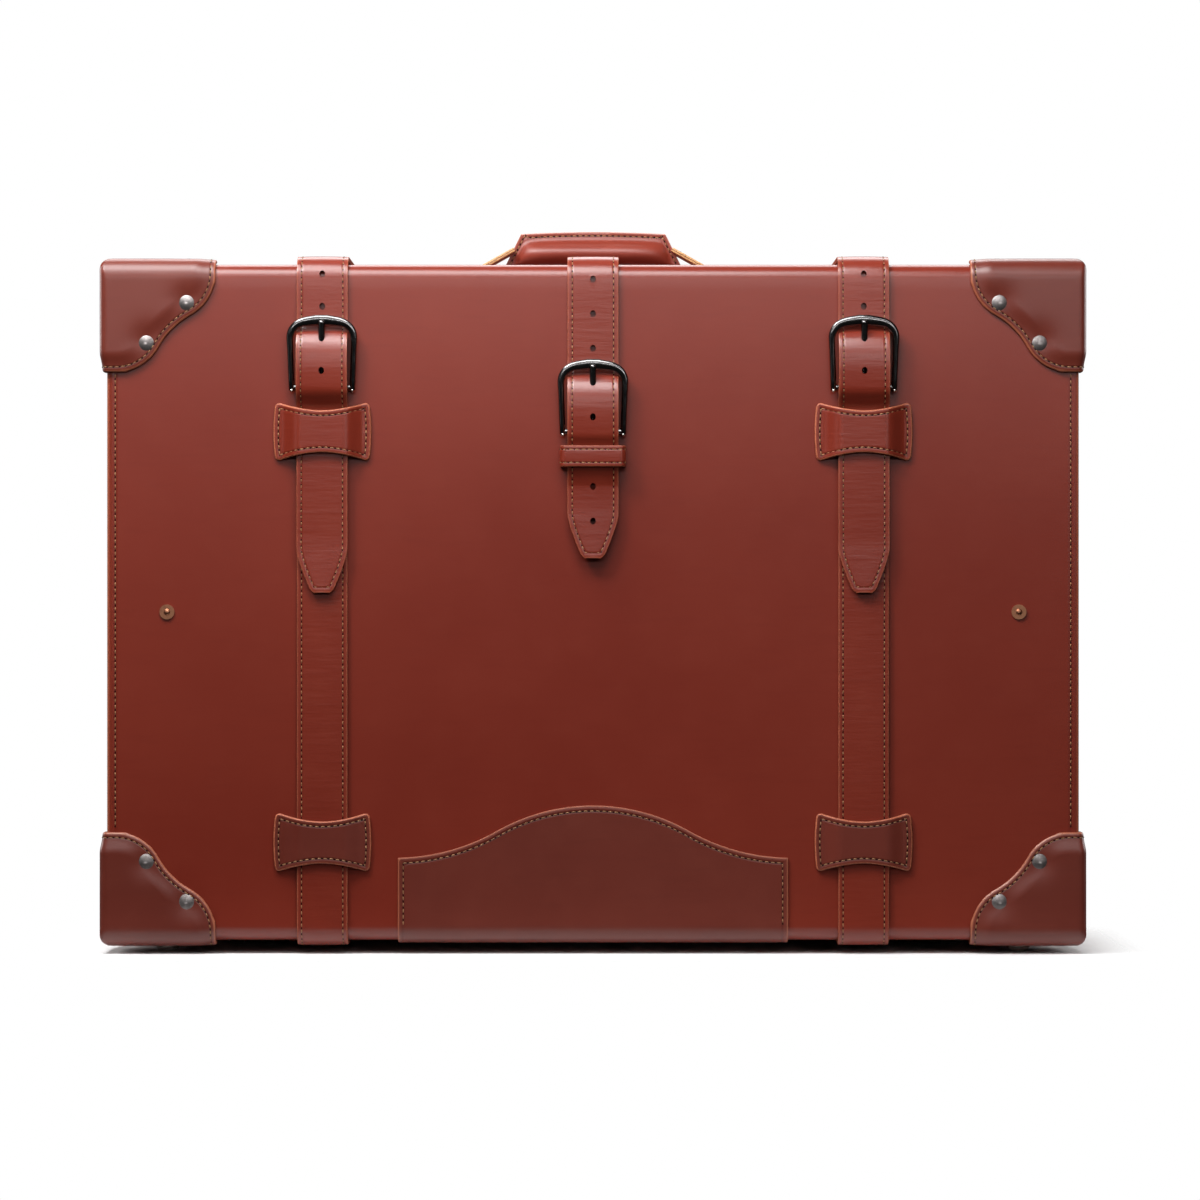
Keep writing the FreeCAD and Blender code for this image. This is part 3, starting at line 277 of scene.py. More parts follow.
class Finish:
    """A material, or the backdrop, and the means to add nodes to it."""

    def __init__(self, name, surface="BSDF_PRINCIPLED", **constants):
        self.block = (bpy.data.worlds if surface == "BACKGROUND" else bpy.data.materials).new(name)
        self.block.use_nodes = True
        self.nodes = self.block.node_tree.nodes
        self.links = self.block.node_tree.links
        self.surface = next(node for node in self.nodes if node.type == surface)
        self.wear(**constants)

    def set(self, node, key, value):
        if isinstance(key, int):
            socket = node.inputs[key]
        else:
            socket = next(each for each in node.inputs
                          if key.lower() in (each.identifier.lower(), each.name.lower()))
        if isinstance(value, Value):
            self.links.new(value.socket, socket)
        elif socket.type == "RGBA":
            socket.default_value = (*value, 1)
        else:
            socket.default_value = value

    def node(self, kind, output, settings, inputs):
        node = self.nodes.new(kind)
        for name, value in settings.items():
            setattr(node, name, value)
        for key, value in inputs.items():
            self.set(node, key, value)
        found = next(each for each in node.outputs if output in (each.identifier, each.name))
        return Value(self, found)

    def place(self, scale=(1, 1, 1), turn=(0, 0, 0)):
        spot = self.node("ShaderNodeTexCoord", "Object", {}, {})
        if scale == (1, 1, 1) and turn == (0, 0, 0):
            return spot
        return self.node("ShaderNodeMapping", "Vector", {}, {
            "Vector": spot, "Scale": scale, "Rotation": turn})

    def noise(self, place, scale, detail=2.0, roughness=0.5):
        return self.node("ShaderNodeTexNoise", "Fac", {}, {
            "Vector": place, "Scale": scale, "Detail": detail, "Roughness": roughness})

    def cells(self, place, scale, feature="F1"):
        return self.node("ShaderNodeTexVoronoi", "Distance", {"feature": feature}, {
            "Vector": place, "Scale": scale})

    def waves(self, place, scale, direction, distortion, detail=2.0):
        return self.node("ShaderNodeTexWave", "Fac", {"bands_direction": direction}, {
            "Vector": place, "Scale": scale, "Distortion": distortion, "Detail": detail})

    def marked(self, name):
        """The share that mark gave each vertex."""
        return self.node("ShaderNodeAttribute", "Fac", {"attribute_name": name}, {})

    def mix(self, share, first, second):
        return self.node("ShaderNodeMix", "Result_Color", {"data_type": "RGBA"}, {
            "Factor_Float": share, "A_Color": first, "B_Color": second})

    def ramp(self, value, low, high):
        """A value that runs from 0 at low to 1 at high."""
        return ((value - low) / (high - low)).clamp()

    def bump(self, height, distance, strength):
        return self.node("ShaderNodeBump", "Normal", {}, {
            "Height": height, "Distance": distance, "Strength": strength})

    def wear(self, **sockets):
        for name, value in sockets.items():
            self.set(self.surface, name.replace("_", " "), value)
        return self.block


def leather(name, colour, dark, pale, shine, dull=0.30, wrinkle=0.0, tan=0.7):
    """Waxed leather: soft dye clouds, a fine grain, burnished edges with a painted sheen beside them, and a
    groove under each seam, darkened as painted shade.
    """
    finish = Finish(name, specular_ior_level=0.5, coat_roughness=0.24)
    spot = finish.place()
    rim = finish.marked("rim")
    cloud = finish.noise(spot, 5.0, 3.0, 0.5)
    mottle = finish.noise(spot, 42.0, 4.0, 0.6)
    streak = finish.noise(finish.place((30, 30, 260), (0.05, 0.1, 0.0)), 1.0, 3.0, 0.6)
    pores = finish.cells(spot, 1300.0)
    grain = finish.noise(spot, 700.0, 4.0, 0.65)
    crease = finish.cells(finish.place((1, 1, 0.6)), 480.0, "DISTANCE_TO_EDGE")
    burnish_and_sheen = finish.ramp(rim, 0.70, 0.97)
    groove = (1.0 - abs(rim - SEAM_SHARE) / 0.16).clamp()
    shade = finish.mix(finish.ramp(cloud, 0.3, 0.62) * 0.5 + 0.5, dark, colour)
    shade = finish.mix(finish.ramp(mottle, 0.48, 0.8) * 0.10, shade, pale)
    shade = finish.mix(finish.ramp(streak, 0.52, 0.78) * 0.2, shade, dark)
    # Painted shade: the seam groove is darkened in colour as well as sunk by the bump
    shade = finish.mix(groove * 0.45, shade, dark)
    # Paler near the cut edges: burnish wear, and a painted sheen beside the edges
    shade = finish.mix(burnish_and_sheen * 0.3, shade, pale)
    shade = finish.mix(finish.ramp(rim, 0.86, 0.97) * tan, shade, TAN_HIDE)
    shade = finish.mix((1.0 - finish.ramp(pores, 0.0, 0.2)) * 0.2, shade, dark)
    rough = dull + (cloud - 0.5) * 0.08 + (grain - 0.5) * 0.04 + (mottle - 0.5) * 0.03
    height = (grain * 0.2 + finish.ramp(crease, 0.0, 0.09) * 0.1 + finish.ramp(pores, 0.0, 0.3) * 0.12
              + mottle * 0.8 + cloud * 4.0 + streak * wrinkle - groove * 3.5)
    return finish.wear(base_color=shade, roughness=rough, coat_weight=shine,
                       normal=finish.bump(height, 0.1 * MM, 0.7))


def raw_edge(name, colour, dark):
    """The cut edge of a hide: burnished in patches, with a glue line where two layers meet."""
    finish = Finish(name, specular_ior_level=0.35)
    layer = finish.marked("layer")
    fibre = finish.noise(finish.place((900, 900, 900)), 1.0, 3.0, 0.7)
    patch = finish.noise(finish.place(), 45.0, 2.0)
    joint = (1.0 - abs(layer - 0.5) / 0.12).clamp()
    shade = finish.mix(finish.ramp(fibre, 0.3, 0.7), dark, colour)
    shade = finish.mix(finish.ramp(patch, 0.45, 0.7) * 0.45, shade, dark)
    shade = finish.mix(joint * 0.85, shade, GLUE_LINE)
    return finish.wear(base_color=shade, roughness=0.5 + (fibre - 0.5) * 0.2,
                       normal=finish.bump(fibre - joint * 2.0, 0.15 * MM, 0.8))


def waxed_thread(name, colour, dark):
    finish = Finish(name, specular_ior_level=0.4)
    twist = finish.waves(finish.place(), 900.0, "DIAGONAL", 1.0)
    soil = finish.noise(finish.place(), 60.0, 2.0)
    shade = finish.mix(finish.ramp(twist, 0.2, 0.8), dark, colour)
    shade = finish.mix(finish.ramp(soil, 0.5, 0.75) * 0.6, shade, dark)
    return finish.wear(base_color=shade, roughness=0.5 + twist * 0.15,
                       normal=finish.bump(twist, 0.12 * MM, 0.7))


# Painted shade: a near-black finish for needle holes and the walls of punched holes, standing in for the
# shade in their depth
def hole_shade_finish():
    finish = Finish("hole_painted_shade", specular_ior_level=0.1)
    fibre = finish.noise(finish.place(), 1500.0)
    return finish.wear(base_color=finish.mix(fibre, (0.008, 0.003, 0.002), (0.03, 0.012, 0.008)),
                       roughness=0.8 + fibre * 0.15)


def metal(name, colour, dark, rough, scratch, patina):
    """Plated metal with fine scratches, a dull film in places and dark specks."""
    finish = Finish(name)
    spot = finish.place()
    film = finish.noise(spot, 170.0, 4.0, 0.6)
    brushed = finish.noise(finish.place((3000, 250, 3000), (0.2, 0.1, 0.5)), 1.0, 2.0)
    specks = finish.noise(spot, 1400.0, 2.0)
    shade = finish.mix(finish.ramp(film, 0.42, 0.66) * patina, colour, dark)
    shade = finish.mix(finish.ramp(specks, 0.62, 0.75) * patina, shade, dark)
    roughness = rough + finish.ramp(film, 0.4, 0.7) * patina * 0.22 + (brushed - 0.5) * scratch
    return finish.wear(base_color=shade, metallic=1.0, roughness=roughness.clamp(),
                       normal=finish.bump(brushed + specks * 0.4, 0.02 * MM, scratch))


def ply(name, pale, dark):
    finish = Finish(name, specular_ior_level=0.3)
    ring = finish.waves(finish.place((0.25, 1, 0.3)), 16.0, "Z", 3.0)
    fibre = finish.noise(finish.place((40, 900, 900)), 1.0, 3.0, 0.6)
    shade = finish.mix(ring * 0.45, pale, dark)
    shade = finish.mix(finish.ramp(fibre, 0.4, 0.7) * 0.4, shade, dark)
    return finish.wear(base_color=shade, roughness=0.55 + fibre * 0.2,
                       normal=finish.bump(fibre, 0.1 * MM, 0.6))


def weave(name, colour, dark, threads):
    """Plain woven cotton: two sets of threads crossing."""
    finish = Finish(name, specular_ior_level=0.2, sheen_weight=0.15, sheen_roughness=0.5)
    warp, weft, cross = [finish.waves(finish.place(), threads, axis, 0.4, 1.0) for axis in "XYZ"]
    cloth = warp * 0.4 + weft * 0.3 + cross * 0.4
    slub = finish.noise(finish.place((20, 200, 400)), 1.0, 3.0, 0.6)
    soft = finish.noise(finish.place(), 8.0, 3.0)
    shade = finish.mix(finish.ramp(cloth, 0.25, 0.85), dark, colour)
    shade = finish.mix(finish.ramp(slub, 0.5, 0.75) * 0.3, shade, dark)
    shade = finish.mix(finish.ramp(soft, 0.4, 0.7) * 0.15, shade, dark)
    return finish.wear(base_color=shade, roughness=0.78 + slub * 0.15,
                       normal=finish.bump(cloth + slub * 0.4, 0.25 * MM, 0.8))


CASE_LEATHER = leather("case_leather", (0.182, 0.0212, 0.0100), (0.132, 0.0127, 0.0063),
                       (0.235, 0.039, 0.020), 0.10)
TRIM_LEATHER = leather("trim_leather", (0.135, 0.0195, 0.0100), (0.088, 0.0115, 0.0060),
                       (0.230, 0.050, 0.028), 0.16, dull=0.38)
STRAP_LEATHER = leather("strap_leather", (0.188, 0.0220, 0.0102), (0.125, 0.0130, 0.0063),
                        (0.290, 0.058, 0.029), 0.16, wrinkle=2.4, tan=0.25)
GRIP_LEATHER = leather("grip_leather", (0.200, 0.0270, 0.0135), (0.140, 0.0160, 0.0080),
                       (0.300, 0.062, 0.032), 0.05, dull=0.44)
TAIL_LEATHER = leather("tail_leather", (0.47, 0.19, 0.085), (0.36, 0.12, 0.05),
                       (0.58, 0.28, 0.14), 0.05, dull=0.42)
RAW_EDGE = raw_edge("raw_edge", (0.50, 0.155, 0.075), (0.25, 0.055, 0.026))
STRAP_EDGE = raw_edge("strap_edge", (0.34, 0.085, 0.040), (0.17, 0.030, 0.014))
TAIL_EDGE = raw_edge("tail_edge", (0.62, 0.36, 0.16), (0.42, 0.20, 0.08))
THREAD = waxed_thread("waxed_thread", (0.39, 0.215, 0.092), (0.18, 0.080, 0.034))
HOLE_SHADE = hole_shade_finish()
BUCKLE_METAL = metal("buckle_gunmetal", (0.17, 0.165, 0.165), (0.06, 0.056, 0.055), 0.13, 0.10, 0.45)
RIVET_METAL = metal("rivet_nickel", (0.27, 0.245, 0.24), (0.13, 0.112, 0.106), 0.46, 0.35, 0.8)
FOOT_METAL = metal("foot_nickel", (0.70, 0.67, 0.63), (0.45, 0.42, 0.39), 0.14, 0.10, 0.4)
COPPER = metal("aged_copper", (0.55, 0.25, 0.14), (0.24, 0.10, 0.06), 0.36, 0.25, 0.8)
HINGE_METAL = metal("hinge_steel", (0.20, 0.19, 0.185), (0.09, 0.085, 0.08), 0.38, 0.35, 0.6)
BOARD_WOOD = ply("board_ply", (0.42, 0.26, 0.13), (0.27, 0.145, 0.065))
LIP_WOOD = ply("lip_wood", (0.30, 0.15, 0.07), (0.17, 0.075, 0.035))
LINING_CLOTH = weave("lining_cotton", (0.50, 0.36, 0.22), (0.33, 0.22, 0.12), 480.0)
CORE_CORD = weave("core_cord", (0.30, 0.25, 0.19), (0.16, 0.13, 0.10), 300.0)


# Modelling tools

def start_alone():
    """Nothing selected, out of edit mode, before a new piece is added."""
    if bpy.context.object and bpy.context.object.mode == "EDIT":
        bpy.ops.object.mode_set(mode="OBJECT")
    bpy.ops.object.select_all(action="DESELECT")


def hold(piece):
    """Make a piece the only one that operators act on."""
    start_alone()
    piece.select_set(True)
    bpy.context.view_layer.objects.active = piece


def pick(piece, test):
    """In edit mode, select the vertices that pass a test on their place."""
    hold(piece)
    for part in (piece.data.polygons, piece.data.edges):
        part.foreach_set("select", [False] * len(part))
    for vertex in piece.data.vertices:
        vertex.select = test(vertex.co)
    bpy.ops.object.mode_set(mode="EDIT")
    bpy.ops.mesh.select_mode(type="VERT")


def apply(piece, kind, **settings):
    hold(piece)
    modifier = piece.modifiers.new(kind.title(), kind)
    for name, value in settings.items():
        setattr(modifier, name, value)
    bpy.ops.object.modifier_apply(modifier=modifier.name)


def new_piece(name, operator, **settings):
    """A piece that an operator makes, under a name of its own."""
    start_alone()
    operator(**settings)
    piece = bpy.context.object
    piece.name = piece.data.name = name
    return piece


def clone(source, name):
    """A copy with a mesh of its own."""
    piece = source.copy()
    piece.data = source.data.copy()
    piece.name = piece.data.name = name
    bpy.context.scene.collection.objects.link(piece)
    return piece


def edit_whole(piece, operator, **settings):
    """Run a mesh operator on the whole of a piece."""
    hold(piece)
    bpy.ops.object.mode_set(mode="EDIT")
    bpy.ops.mesh.select_all(action="SELECT")
    operator(**settings)
    bpy.ops.object.mode_set(mode="OBJECT")


def face_outwards(piece):
    edit_whole(piece, bpy.ops.mesh.normals_make_consistent, inside=False)


def face_front(piece):
    """Turn a sheet on the front of the case so that it faces outwards."""
    if piece.data.polygons[-1].normal.y > 0:
        piece.data.flip_normals()


def soften(piece, width, **which):
    """Round off the sharp edges."""
    apply(piece, "BEVEL", width=width, segments=2, limit_method="ANGLE", angle_limit=EDGE_ANGLE, **which)


def thicken(piece, thick):
    """Give a sheet its thickness, with its second material on the cut edge."""
    apply(piece, "SOLIDIFY", thickness=thick, offset=0, use_even_offset=True, material_offset_rim=1)


def places_of(piece):
    places = np.zeros(len(piece.data.vertices) * 3)
    piece.data.vertices.foreach_get("co", places)
    return places.reshape(-1, 3)


def move_to(piece, places):
    piece.data.vertices.foreach_set("co", np.asarray(places, dtype=np.float32).ravel())
    piece.data.update()


def mark(piece, name, values):
    """Tell the finish a share for each vertex, of nearness to a cut edge or of the thickness."""
    shares = piece.data.attributes.get(name) or piece.data.attributes.new(name, "FLOAT", "POINT")
    shares.data.foreach_set("value", np.clip(values, 0, 1).astype(np.float32))


def mark_rim(piece, distance, seam):
    """The share of nearness to the cut edge, scaled so that each seam lies at the same share."""
    mark(piece, "rim", 1 - (1 - SEAM_SHARE) * np.asarray(distance) / seam)


def dress(piece, *materials):
    piece.data.materials.clear()
    for material in materials:
        piece.data.materials.append(material)


def smooth(piece, degrees=38):
    hold(piece)
    bpy.ops.object.shade_smooth_by_angle(angle=math.radians(degrees))


def join(piece, *others):
    hold(piece)
    for other in others:
        other.select_set(True)
    bpy.ops.object.join()
    return piece


def bare_copy(source, name):
    """A copy of a construction mesh as one merged piece of its own."""
    piece = clone(source, name)
    piece.parent = None
    for key in list(piece.keys()):
        del piece[key]
    edit_whole(piece, bpy.ops.mesh.remove_doubles, threshold=0.005 * MM)
    return piece


def twin(piece, name, change):
    """A copy of a piece, shifted, turned or mirrored."""
    copy = clone(piece, name)
    copy.data.transform(change)
    if change.determinant() < 0:
        copy.data.flip_normals()
    return copy


def distance_to(places, outline):
    """How far each place is from the nearest point of an outline."""
    distance = np.full(len(places), 1.0)
    for point in outline:
        distance = np.minimum(distance, np.linalg.norm(places - point, axis=1))
    return distance


def eased(share):
    """A share from 0 to 1 that starts and ends gently."""
    return share * share * (3 - 2 * share)


def rounded(points, radii):
    """Places along straight runs and the tangent arcs between them, in a plane."""
    corners = [Vector(point) for point in points]
    places = [corners[0]]

    def run_to(goal):
        start = places[-1].copy()
        count = max(1, math.ceil((goal - start).length / RUN_STEP))
        places.extend(start.lerp(goal, (step + 1) / count) for step in range(count))

    for before, corner, after, radius in zip(corners, corners[1:], corners[2:], radii):
        arriving = (corner - before).normalized()
        leaving = (after - corner).normalized()
        turn = math.atan2(arriving.x * leaving.y - arriving.y * leaving.x, arriving.dot(leaving))
        reach = radius * math.tan(abs(turn) / 2)
        run_to(corner - arriving * reach)
        side = math.copysign(1, turn)
        centre = corner - arriving * reach + Vector((-arriving.y, arriving.x)) * radius * side
        spoke = corner - arriving * reach - centre
        count = max(2, math.ceil(abs(turn) / ARC_STEP))
        for step in range(1, count + 1):
            angle = turn * step / count
            places.append(centre + Matrix.Rotation(angle, 2) @ spoke)
    run_to(corners[-1])
    return places


def upright(points, radii):
    """A rounded path in the plane of depth and height."""
    return [Vector((0, place.x, place.y)) for place in rounded(points, radii)]


def refined(path, length):
    """A path with closer places over its last stretch."""
    end = path[-1]
    kept = [place for place in path if (end - place).length > length]
    start = kept[-1]
    count = 22
    return kept + [start.lerp(end, 1 - (1 - step / count) ** 1.7) for step in range(1, count + 1)]


class Strip:
    """A band of leather drawn out along a flat path. Its outer side is to the right of the path."""

    def __init__(self, name, path, across, middle_place, half, thick, seam=STRAP_SEAM, columns=4,
                 crown=0.0, roll=0.0, tip=None):
        self.across = across
        self.inset = seam
        self.half = half
        self.thick = thick
        self.path = path
        self.centre = middle_place.dot(across)
        runs = [after - before for before, after in zip(self.path, self.path[1:])]
        turns = [(one + two).normalized() for one, two in zip(runs, runs[1:])]
        self.outward = [run.normalized().cross(across) for run in [runs[0], *turns, runs[-1]]]
        lengths = np.cumsum([0.0, *[run.length for run in runs]])
        self.to_end = lengths[-1] - lengths
        self.tip = tip
        self.share = np.array([self.width_share(rest) for rest in self.to_end])
        # Columns close up towards the edges, where the leather bends over and the seams run
        near = [inset for inset in EDGE_COLUMNS if inset < half * 0.6]
        inner = half - near[-1]
        columns = [inset - half for inset in near] + [
            inner * (2 * step / columns - 1) for step in range(1, columns)] + [
            half - inset for inset in reversed(near)]
        self.piece = new_piece(name, bpy.ops.mesh.primitive_grid_add, x_subdivisions=len(columns) - 1,
                               y_subdivisions=1, size=2)
        pick(self.piece, lambda place: place.y > 0)
        bpy.ops.mesh.delete(type="VERT")
        bpy.ops.object.mode_set(mode="OBJECT")
        for vertex in self.piece.data.vertices:
            side = columns[round((vertex.co.x + 1) / 2 * (len(columns) - 1))]
            vertex.co = self.path[0] + across * (side + self.centre - self.path[0].dot(across))
        pick(self.piece, lambda place: True)
        for run in runs:
            bpy.ops.mesh.extrude_region_move(TRANSFORM_OT_translate={"value": run})
        bpy.ops.object.mode_set(mode="OBJECT")
        self.shape(crown, roll)

    def width_share(self, rest):
        """How much of the full width is left, near a pointed tip."""
        if not self.tip:
            return 1.0
        length, blunt = self.tip
        narrow = blunt / self.half
        taper = 1 - (1 - narrow) * (1 - min(1.0, rest / length)) ** 1.32
        corner = max(0.0, 1 - rest / TIP_CORNER)
        return taper * (1 - 0.25 * corner ** 2)

    def nearest(self, places):
        """The station of the path that each place belongs to."""
        flatten = np.eye(3) - np.outer(self.across, self.across)
        flat = [np.linalg.norm((places - place) @ flatten, axis=1) for place in np.array(self.path)]
        return np.array(flat).argmin(axis=0)

    def shape(self, crown, roll):
        """Draw the tip in, crown the middle and turn the edges down, then face the strip outwards."""
        places = places_of(self.piece)
        station = self.nearest(places)
        share = self.share[station]
        side = (places @ np.array(self.across) - self.centre) / self.half
        near_edge = np.clip(1 - self.half * (1 - np.abs(side)) / ROLL_REACH, 0, 1)
        lift = crown * (1 - side ** 2) - roll * near_edge ** 2
        places += np.outer(self.half * side * (share - 1), self.across)
        places += np.array(self.outward)[station] * lift[:, None]
        move_to(self.piece, places)
        polygon = self.piece.data.polygons[0]
        here = self.nearest(np.array([polygon.center]))[0]
        if polygon.normal.dot(self.outward[here]) < 0:
            self.piece.data.flip_normals()

    def finish(self, hide, edge, bevel=STRAP_BEVEL, holes=()):
        """Give the band its thickness, its cut edge and its holes."""
        dress(self.piece, hide, edge)
        thicken(self.piece, self.thick)
        soften(self.piece, bevel, material=1)
        for cutter in holes:
            # Punched holes take the punch's near-black finish on their walls, as painted shade
            materials = "TRANSFER" if cutter.data.materials else "INDEX"
            apply(self.piece, "BOOLEAN", object=cutter, operation="DIFFERENCE", solver="EXACT",
                  material_mode=materials)
            bpy.data.objects.remove(cutter)
        self.mark_edges()
        smooth(self.piece)
        return self.piece

    def mark_edges(self):
        """Tell the finish where the cut edges and the layers are."""
        places = places_of(self.piece)
        station = self.nearest(places)
        side = np.abs(places @ np.array(self.across) - self.centre)
        distance = self.half * self.share[station] - side
        if self.tip:
            distance = np.minimum(distance, self.to_end[station])
        mark_rim(self.piece, distance, self.inset)
        depth = ((places - np.array(self.path)[station]) * np.array(self.outward)[station]).sum(axis=1)
        mark(self.piece, "layer", 0.5 + depth / self.thick)

    def tip_seam(self):
        """One line of places down one edge, round the tip and up the other edge."""
        return self.seam(-1, 0, self.inset) + self.seam(1, 0, self.inset)[::-1]

    def seam(self, side, start=0.0, end=0.0):
        """Places and outward directions along one edge, from start to end short of the strip's ends."""
        total = self.to_end[0]
        line = []
        for place, out, rest, share in zip(self.path, self.outward, self.to_end, self.share):
            if total - rest >= start and rest >= end:
                flat = place + self.across * (self.centre - place.dot(self.across))
                line.append((flat + self.across * side * (self.half * share - self.inset)
                             + out * self.thick / 2, out))
        return line


def drawn_rod(name, sides, stations):
    """A rod from Z = -1 to 1 with a ring of vertices at each station, to be shaped."""
    piece = new_piece(name, bpy.ops.mesh.primitive_cylinder_add, vertices=sides, radius=1, depth=2,
                      end_fill_type="NGON")
    pick(piece, lambda place: True)
    for step in range(1, stations):
        bpy.ops.mesh.select_all(action="SELECT")
        bpy.ops.mesh.bisect(plane_co=(0, 0, 2 * step / stations - 1), plane_no=(0, 0, 1))
    bpy.ops.object.mode_set(mode="OBJECT")
    return piece


def bead(name, size, material, facets=6):
    """A small rounded bead, longer along X."""
    piece = new_piece(name, bpy.ops.mesh.primitive_uv_sphere_add, segments=facets,
                      ring_count=facets - 2, radius=1)
    bpy.ops.transform.resize(value=size)
    bpy.ops.object.transform_apply(location=False, rotation=False, scale=True)
    bpy.ops.object.shade_smooth()
    dress(piece, material)
    return piece


stitch_bead = bead("stitch_bead", (STITCH_LENGTH / 2, STITCH_RADIUS, STITCH_RADIUS), THREAD)
# Near-black beads, painted as the shade in each needle hole
hole_shade_bead = bead("hole_shade_bead", (NEEDLE_LENGTH / 2, NEEDLE_RADIUS, NEEDLE_RADIUS), HOLE_SHADE)


def run_beads(template, line, sink, lead):
    """Beads at an even pitch along a line, each sunk a little into the leather."""
    curve = bpy.data.curves.new("seam", "CURVE")
    curve.dimensions = "3D"
    spline = curve.splines.new("POLY")
    spline.points.add(len(line) - 1)
    for point, (place, out) in zip(spline.points, line):
        point.co = (*(place - out * sink), 1)
    guide = bpy.data.objects.new("seam", curve)
    bpy.context.scene.collection.objects.link(guide)
    row = twin(template, "seam_row", Matrix.Translation((lead, 0, 0)))
    length = sum((after[0] - before[0]).length for before, after in zip(line, line[1:]))
    apply(row, "ARRAY", fit_type="FIXED_COUNT", count=max(1, int(length / STITCH_PITCH)),
          use_relative_offset=False, use_constant_offset=True,
          constant_offset_displace=(STITCH_PITCH, 0, 0))
    apply(row, "CURVE", object=guide, deform_axis="POS_X")
    bpy.data.objects.remove(guide)
    return row


def sew(piece, *lines):
    """Stitches and, between them, dark beads painted as the shade in the needle holes, joined to the piece
    that they hold.
    """
    rows = []
    for line in lines:
        rows.append(run_beads(stitch_bead, line, STITCH_SINK, STITCH_PITCH / 2))
        rows.append(run_beads(hole_shade_bead, line, NEEDLE_SINK, STITCH_PITCH))
    return join(piece, *rows)


def punch(place):
    """A many-sided rod that punches a tall hole from front to back, centred on a place. Its near-black
    finish passes to the hole's walls as painted shade.
    """
    rod = new_piece("hole_punch", bpy.ops.mesh.primitive_cylinder_add, vertices=20, radius=HOLE_RADIUS,
                    depth=HOLE_DEPTH)
    turn = Z_AXIS.rotation_difference(Y_AXIS).to_matrix().to_4x4()
    rod.data.transform(Matrix.Translation(place) @ Matrix.Diagonal(HOLE_SHAPE) @ turn)
    dress(rod, HOLE_SHADE)
    return rod


def carry(piece, body, slot, *nodes):
    """A finished piece: what it rides on, its finish in the record, which is not used, and the nodes that
    it stands for.
    """
    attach(piece, body)
    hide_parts(*nodes)


# Covers

def make_covers():
    skin = LEATHER / 2
    turn = EDGE_RADIUS - skin
    corners = {
        "lid": [(lid_rim, top - skin), (front + skin, top - skin), (front + skin, bottom + skin),
                (lid_rim, bottom + skin)],
        "base": [(base_rim, bottom + skin), (back - skin, bottom + skin), (back - skin, top - skin),
                 (base_rim, top - skin)],
    }
    for half, points in corners.items():
        strip = Strip(f"{half}_cover_leather", upright(points, [turn, turn]), X_AXIS, Vector(), half_width,
                      LEATHER, seam=COVER_SEAM, columns=16, roll=COVER_ROLL)
        cover = strip.finish(CASE_LEATHER, RAW_EDGE, THIN_BEVEL)
        deep = lid_rim - front if half == "lid" else back - base_rim
        # The seam runs on a little way under the caps
        under_cap = deep + CAP_REACH - CAP_UNDERLAP
        sew(cover, *[strip.seam(side, under_cap, under_cap) for side in (-1, 1)])
        carry(cover, half, "case_leather", f"{half}_cover")


make_covers()


# Straps

def tongue_slot(across, bar):
    """A block that cuts the slot for the tongue's root, where the leather turns over the bar."""
    block = new_piece("slot_block", bpy.ops.mesh.primitive_cube_add, size=1)
    size = Matrix.Diagonal((2 * SLOT_HALF, BULGE, 2 * SLOT_TALL, 1))
    block.data.transform(Matrix.Translation((across, front - BULGE / 2, bar)) @ size)
    return block


def strap_end_places(bar, tip, fall):
    """The loose end from the top edge: behind the frame, in a full bow over the bar and down to the tip."""
    step_head = bar - CHAPE_START - 4 * STRAP_GAP
    window = bar + WINDOW_HEAD
    steps = [(front - depth, bar - drop) for depth, drop in fall]
    heights = (window - BOW_FALL, bar + BOW_MIDDLE, step_head)
    points = [
        (front - STRAP_MIDDLE, window + BOW_START),
        *[(front - BULGE - proud, height) for proud, height in zip(BOW_PROUD, heights)],
        *steps,
        (front - UPPER_MIDDLE, tip + TIP_LENGTH),
        (front - UPPER_MIDDLE - TIP_LIFT, tip),
    ]
    return points, [STRAP_BEND, *BOW_RADII] + [STRAP_BEND] * len(steps) + [2 * TIP_LENGTH]


def make_upper_strap(side, start_points, start_radii, pitch, holes_below, fall):
    """Over the top from the back, through the buckle and down to the tip."""
    pivot = joint_place[f"{side}_strap_lift"]
    bar = joint_place[f"{side}_frame_swing"].z
    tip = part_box(f"{side}_strap_end")[0].z
    end_points, end_radii = strap_end_places(bar, tip, fall)
    points = start_points + [(front - STRAP_MIDDLE, strap_crown)] + end_points
    path = refined(upright(points, start_radii + [STRAP_TURN] + end_radii), TIP_TAPER)
    strip = Strip(f"{side}_upper_strap", path, X_AXIS, pivot, STRAP_HALF, STRAP_THICK,
                  crown=UPPER_CROWN, tip=(TIP_TAPER, TIP_HALF))
    hole = bar + WINDOW_HEAD - TUCK_FALL
    above = int((top - hole) / pitch)
    cutters = [punch(Vector((pivot.x, front - BULGE / 2, hole + step * pitch)))
               for step in range(-holes_below, above + 1)]
    strap = strip.finish(STRAP_LEATHER, STRAP_EDGE, holes=cutters)
    sew(strap, strip.tip_seam())
    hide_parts(f"{side}_strap_back", f"{side}_strap_end")
    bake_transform(strap)


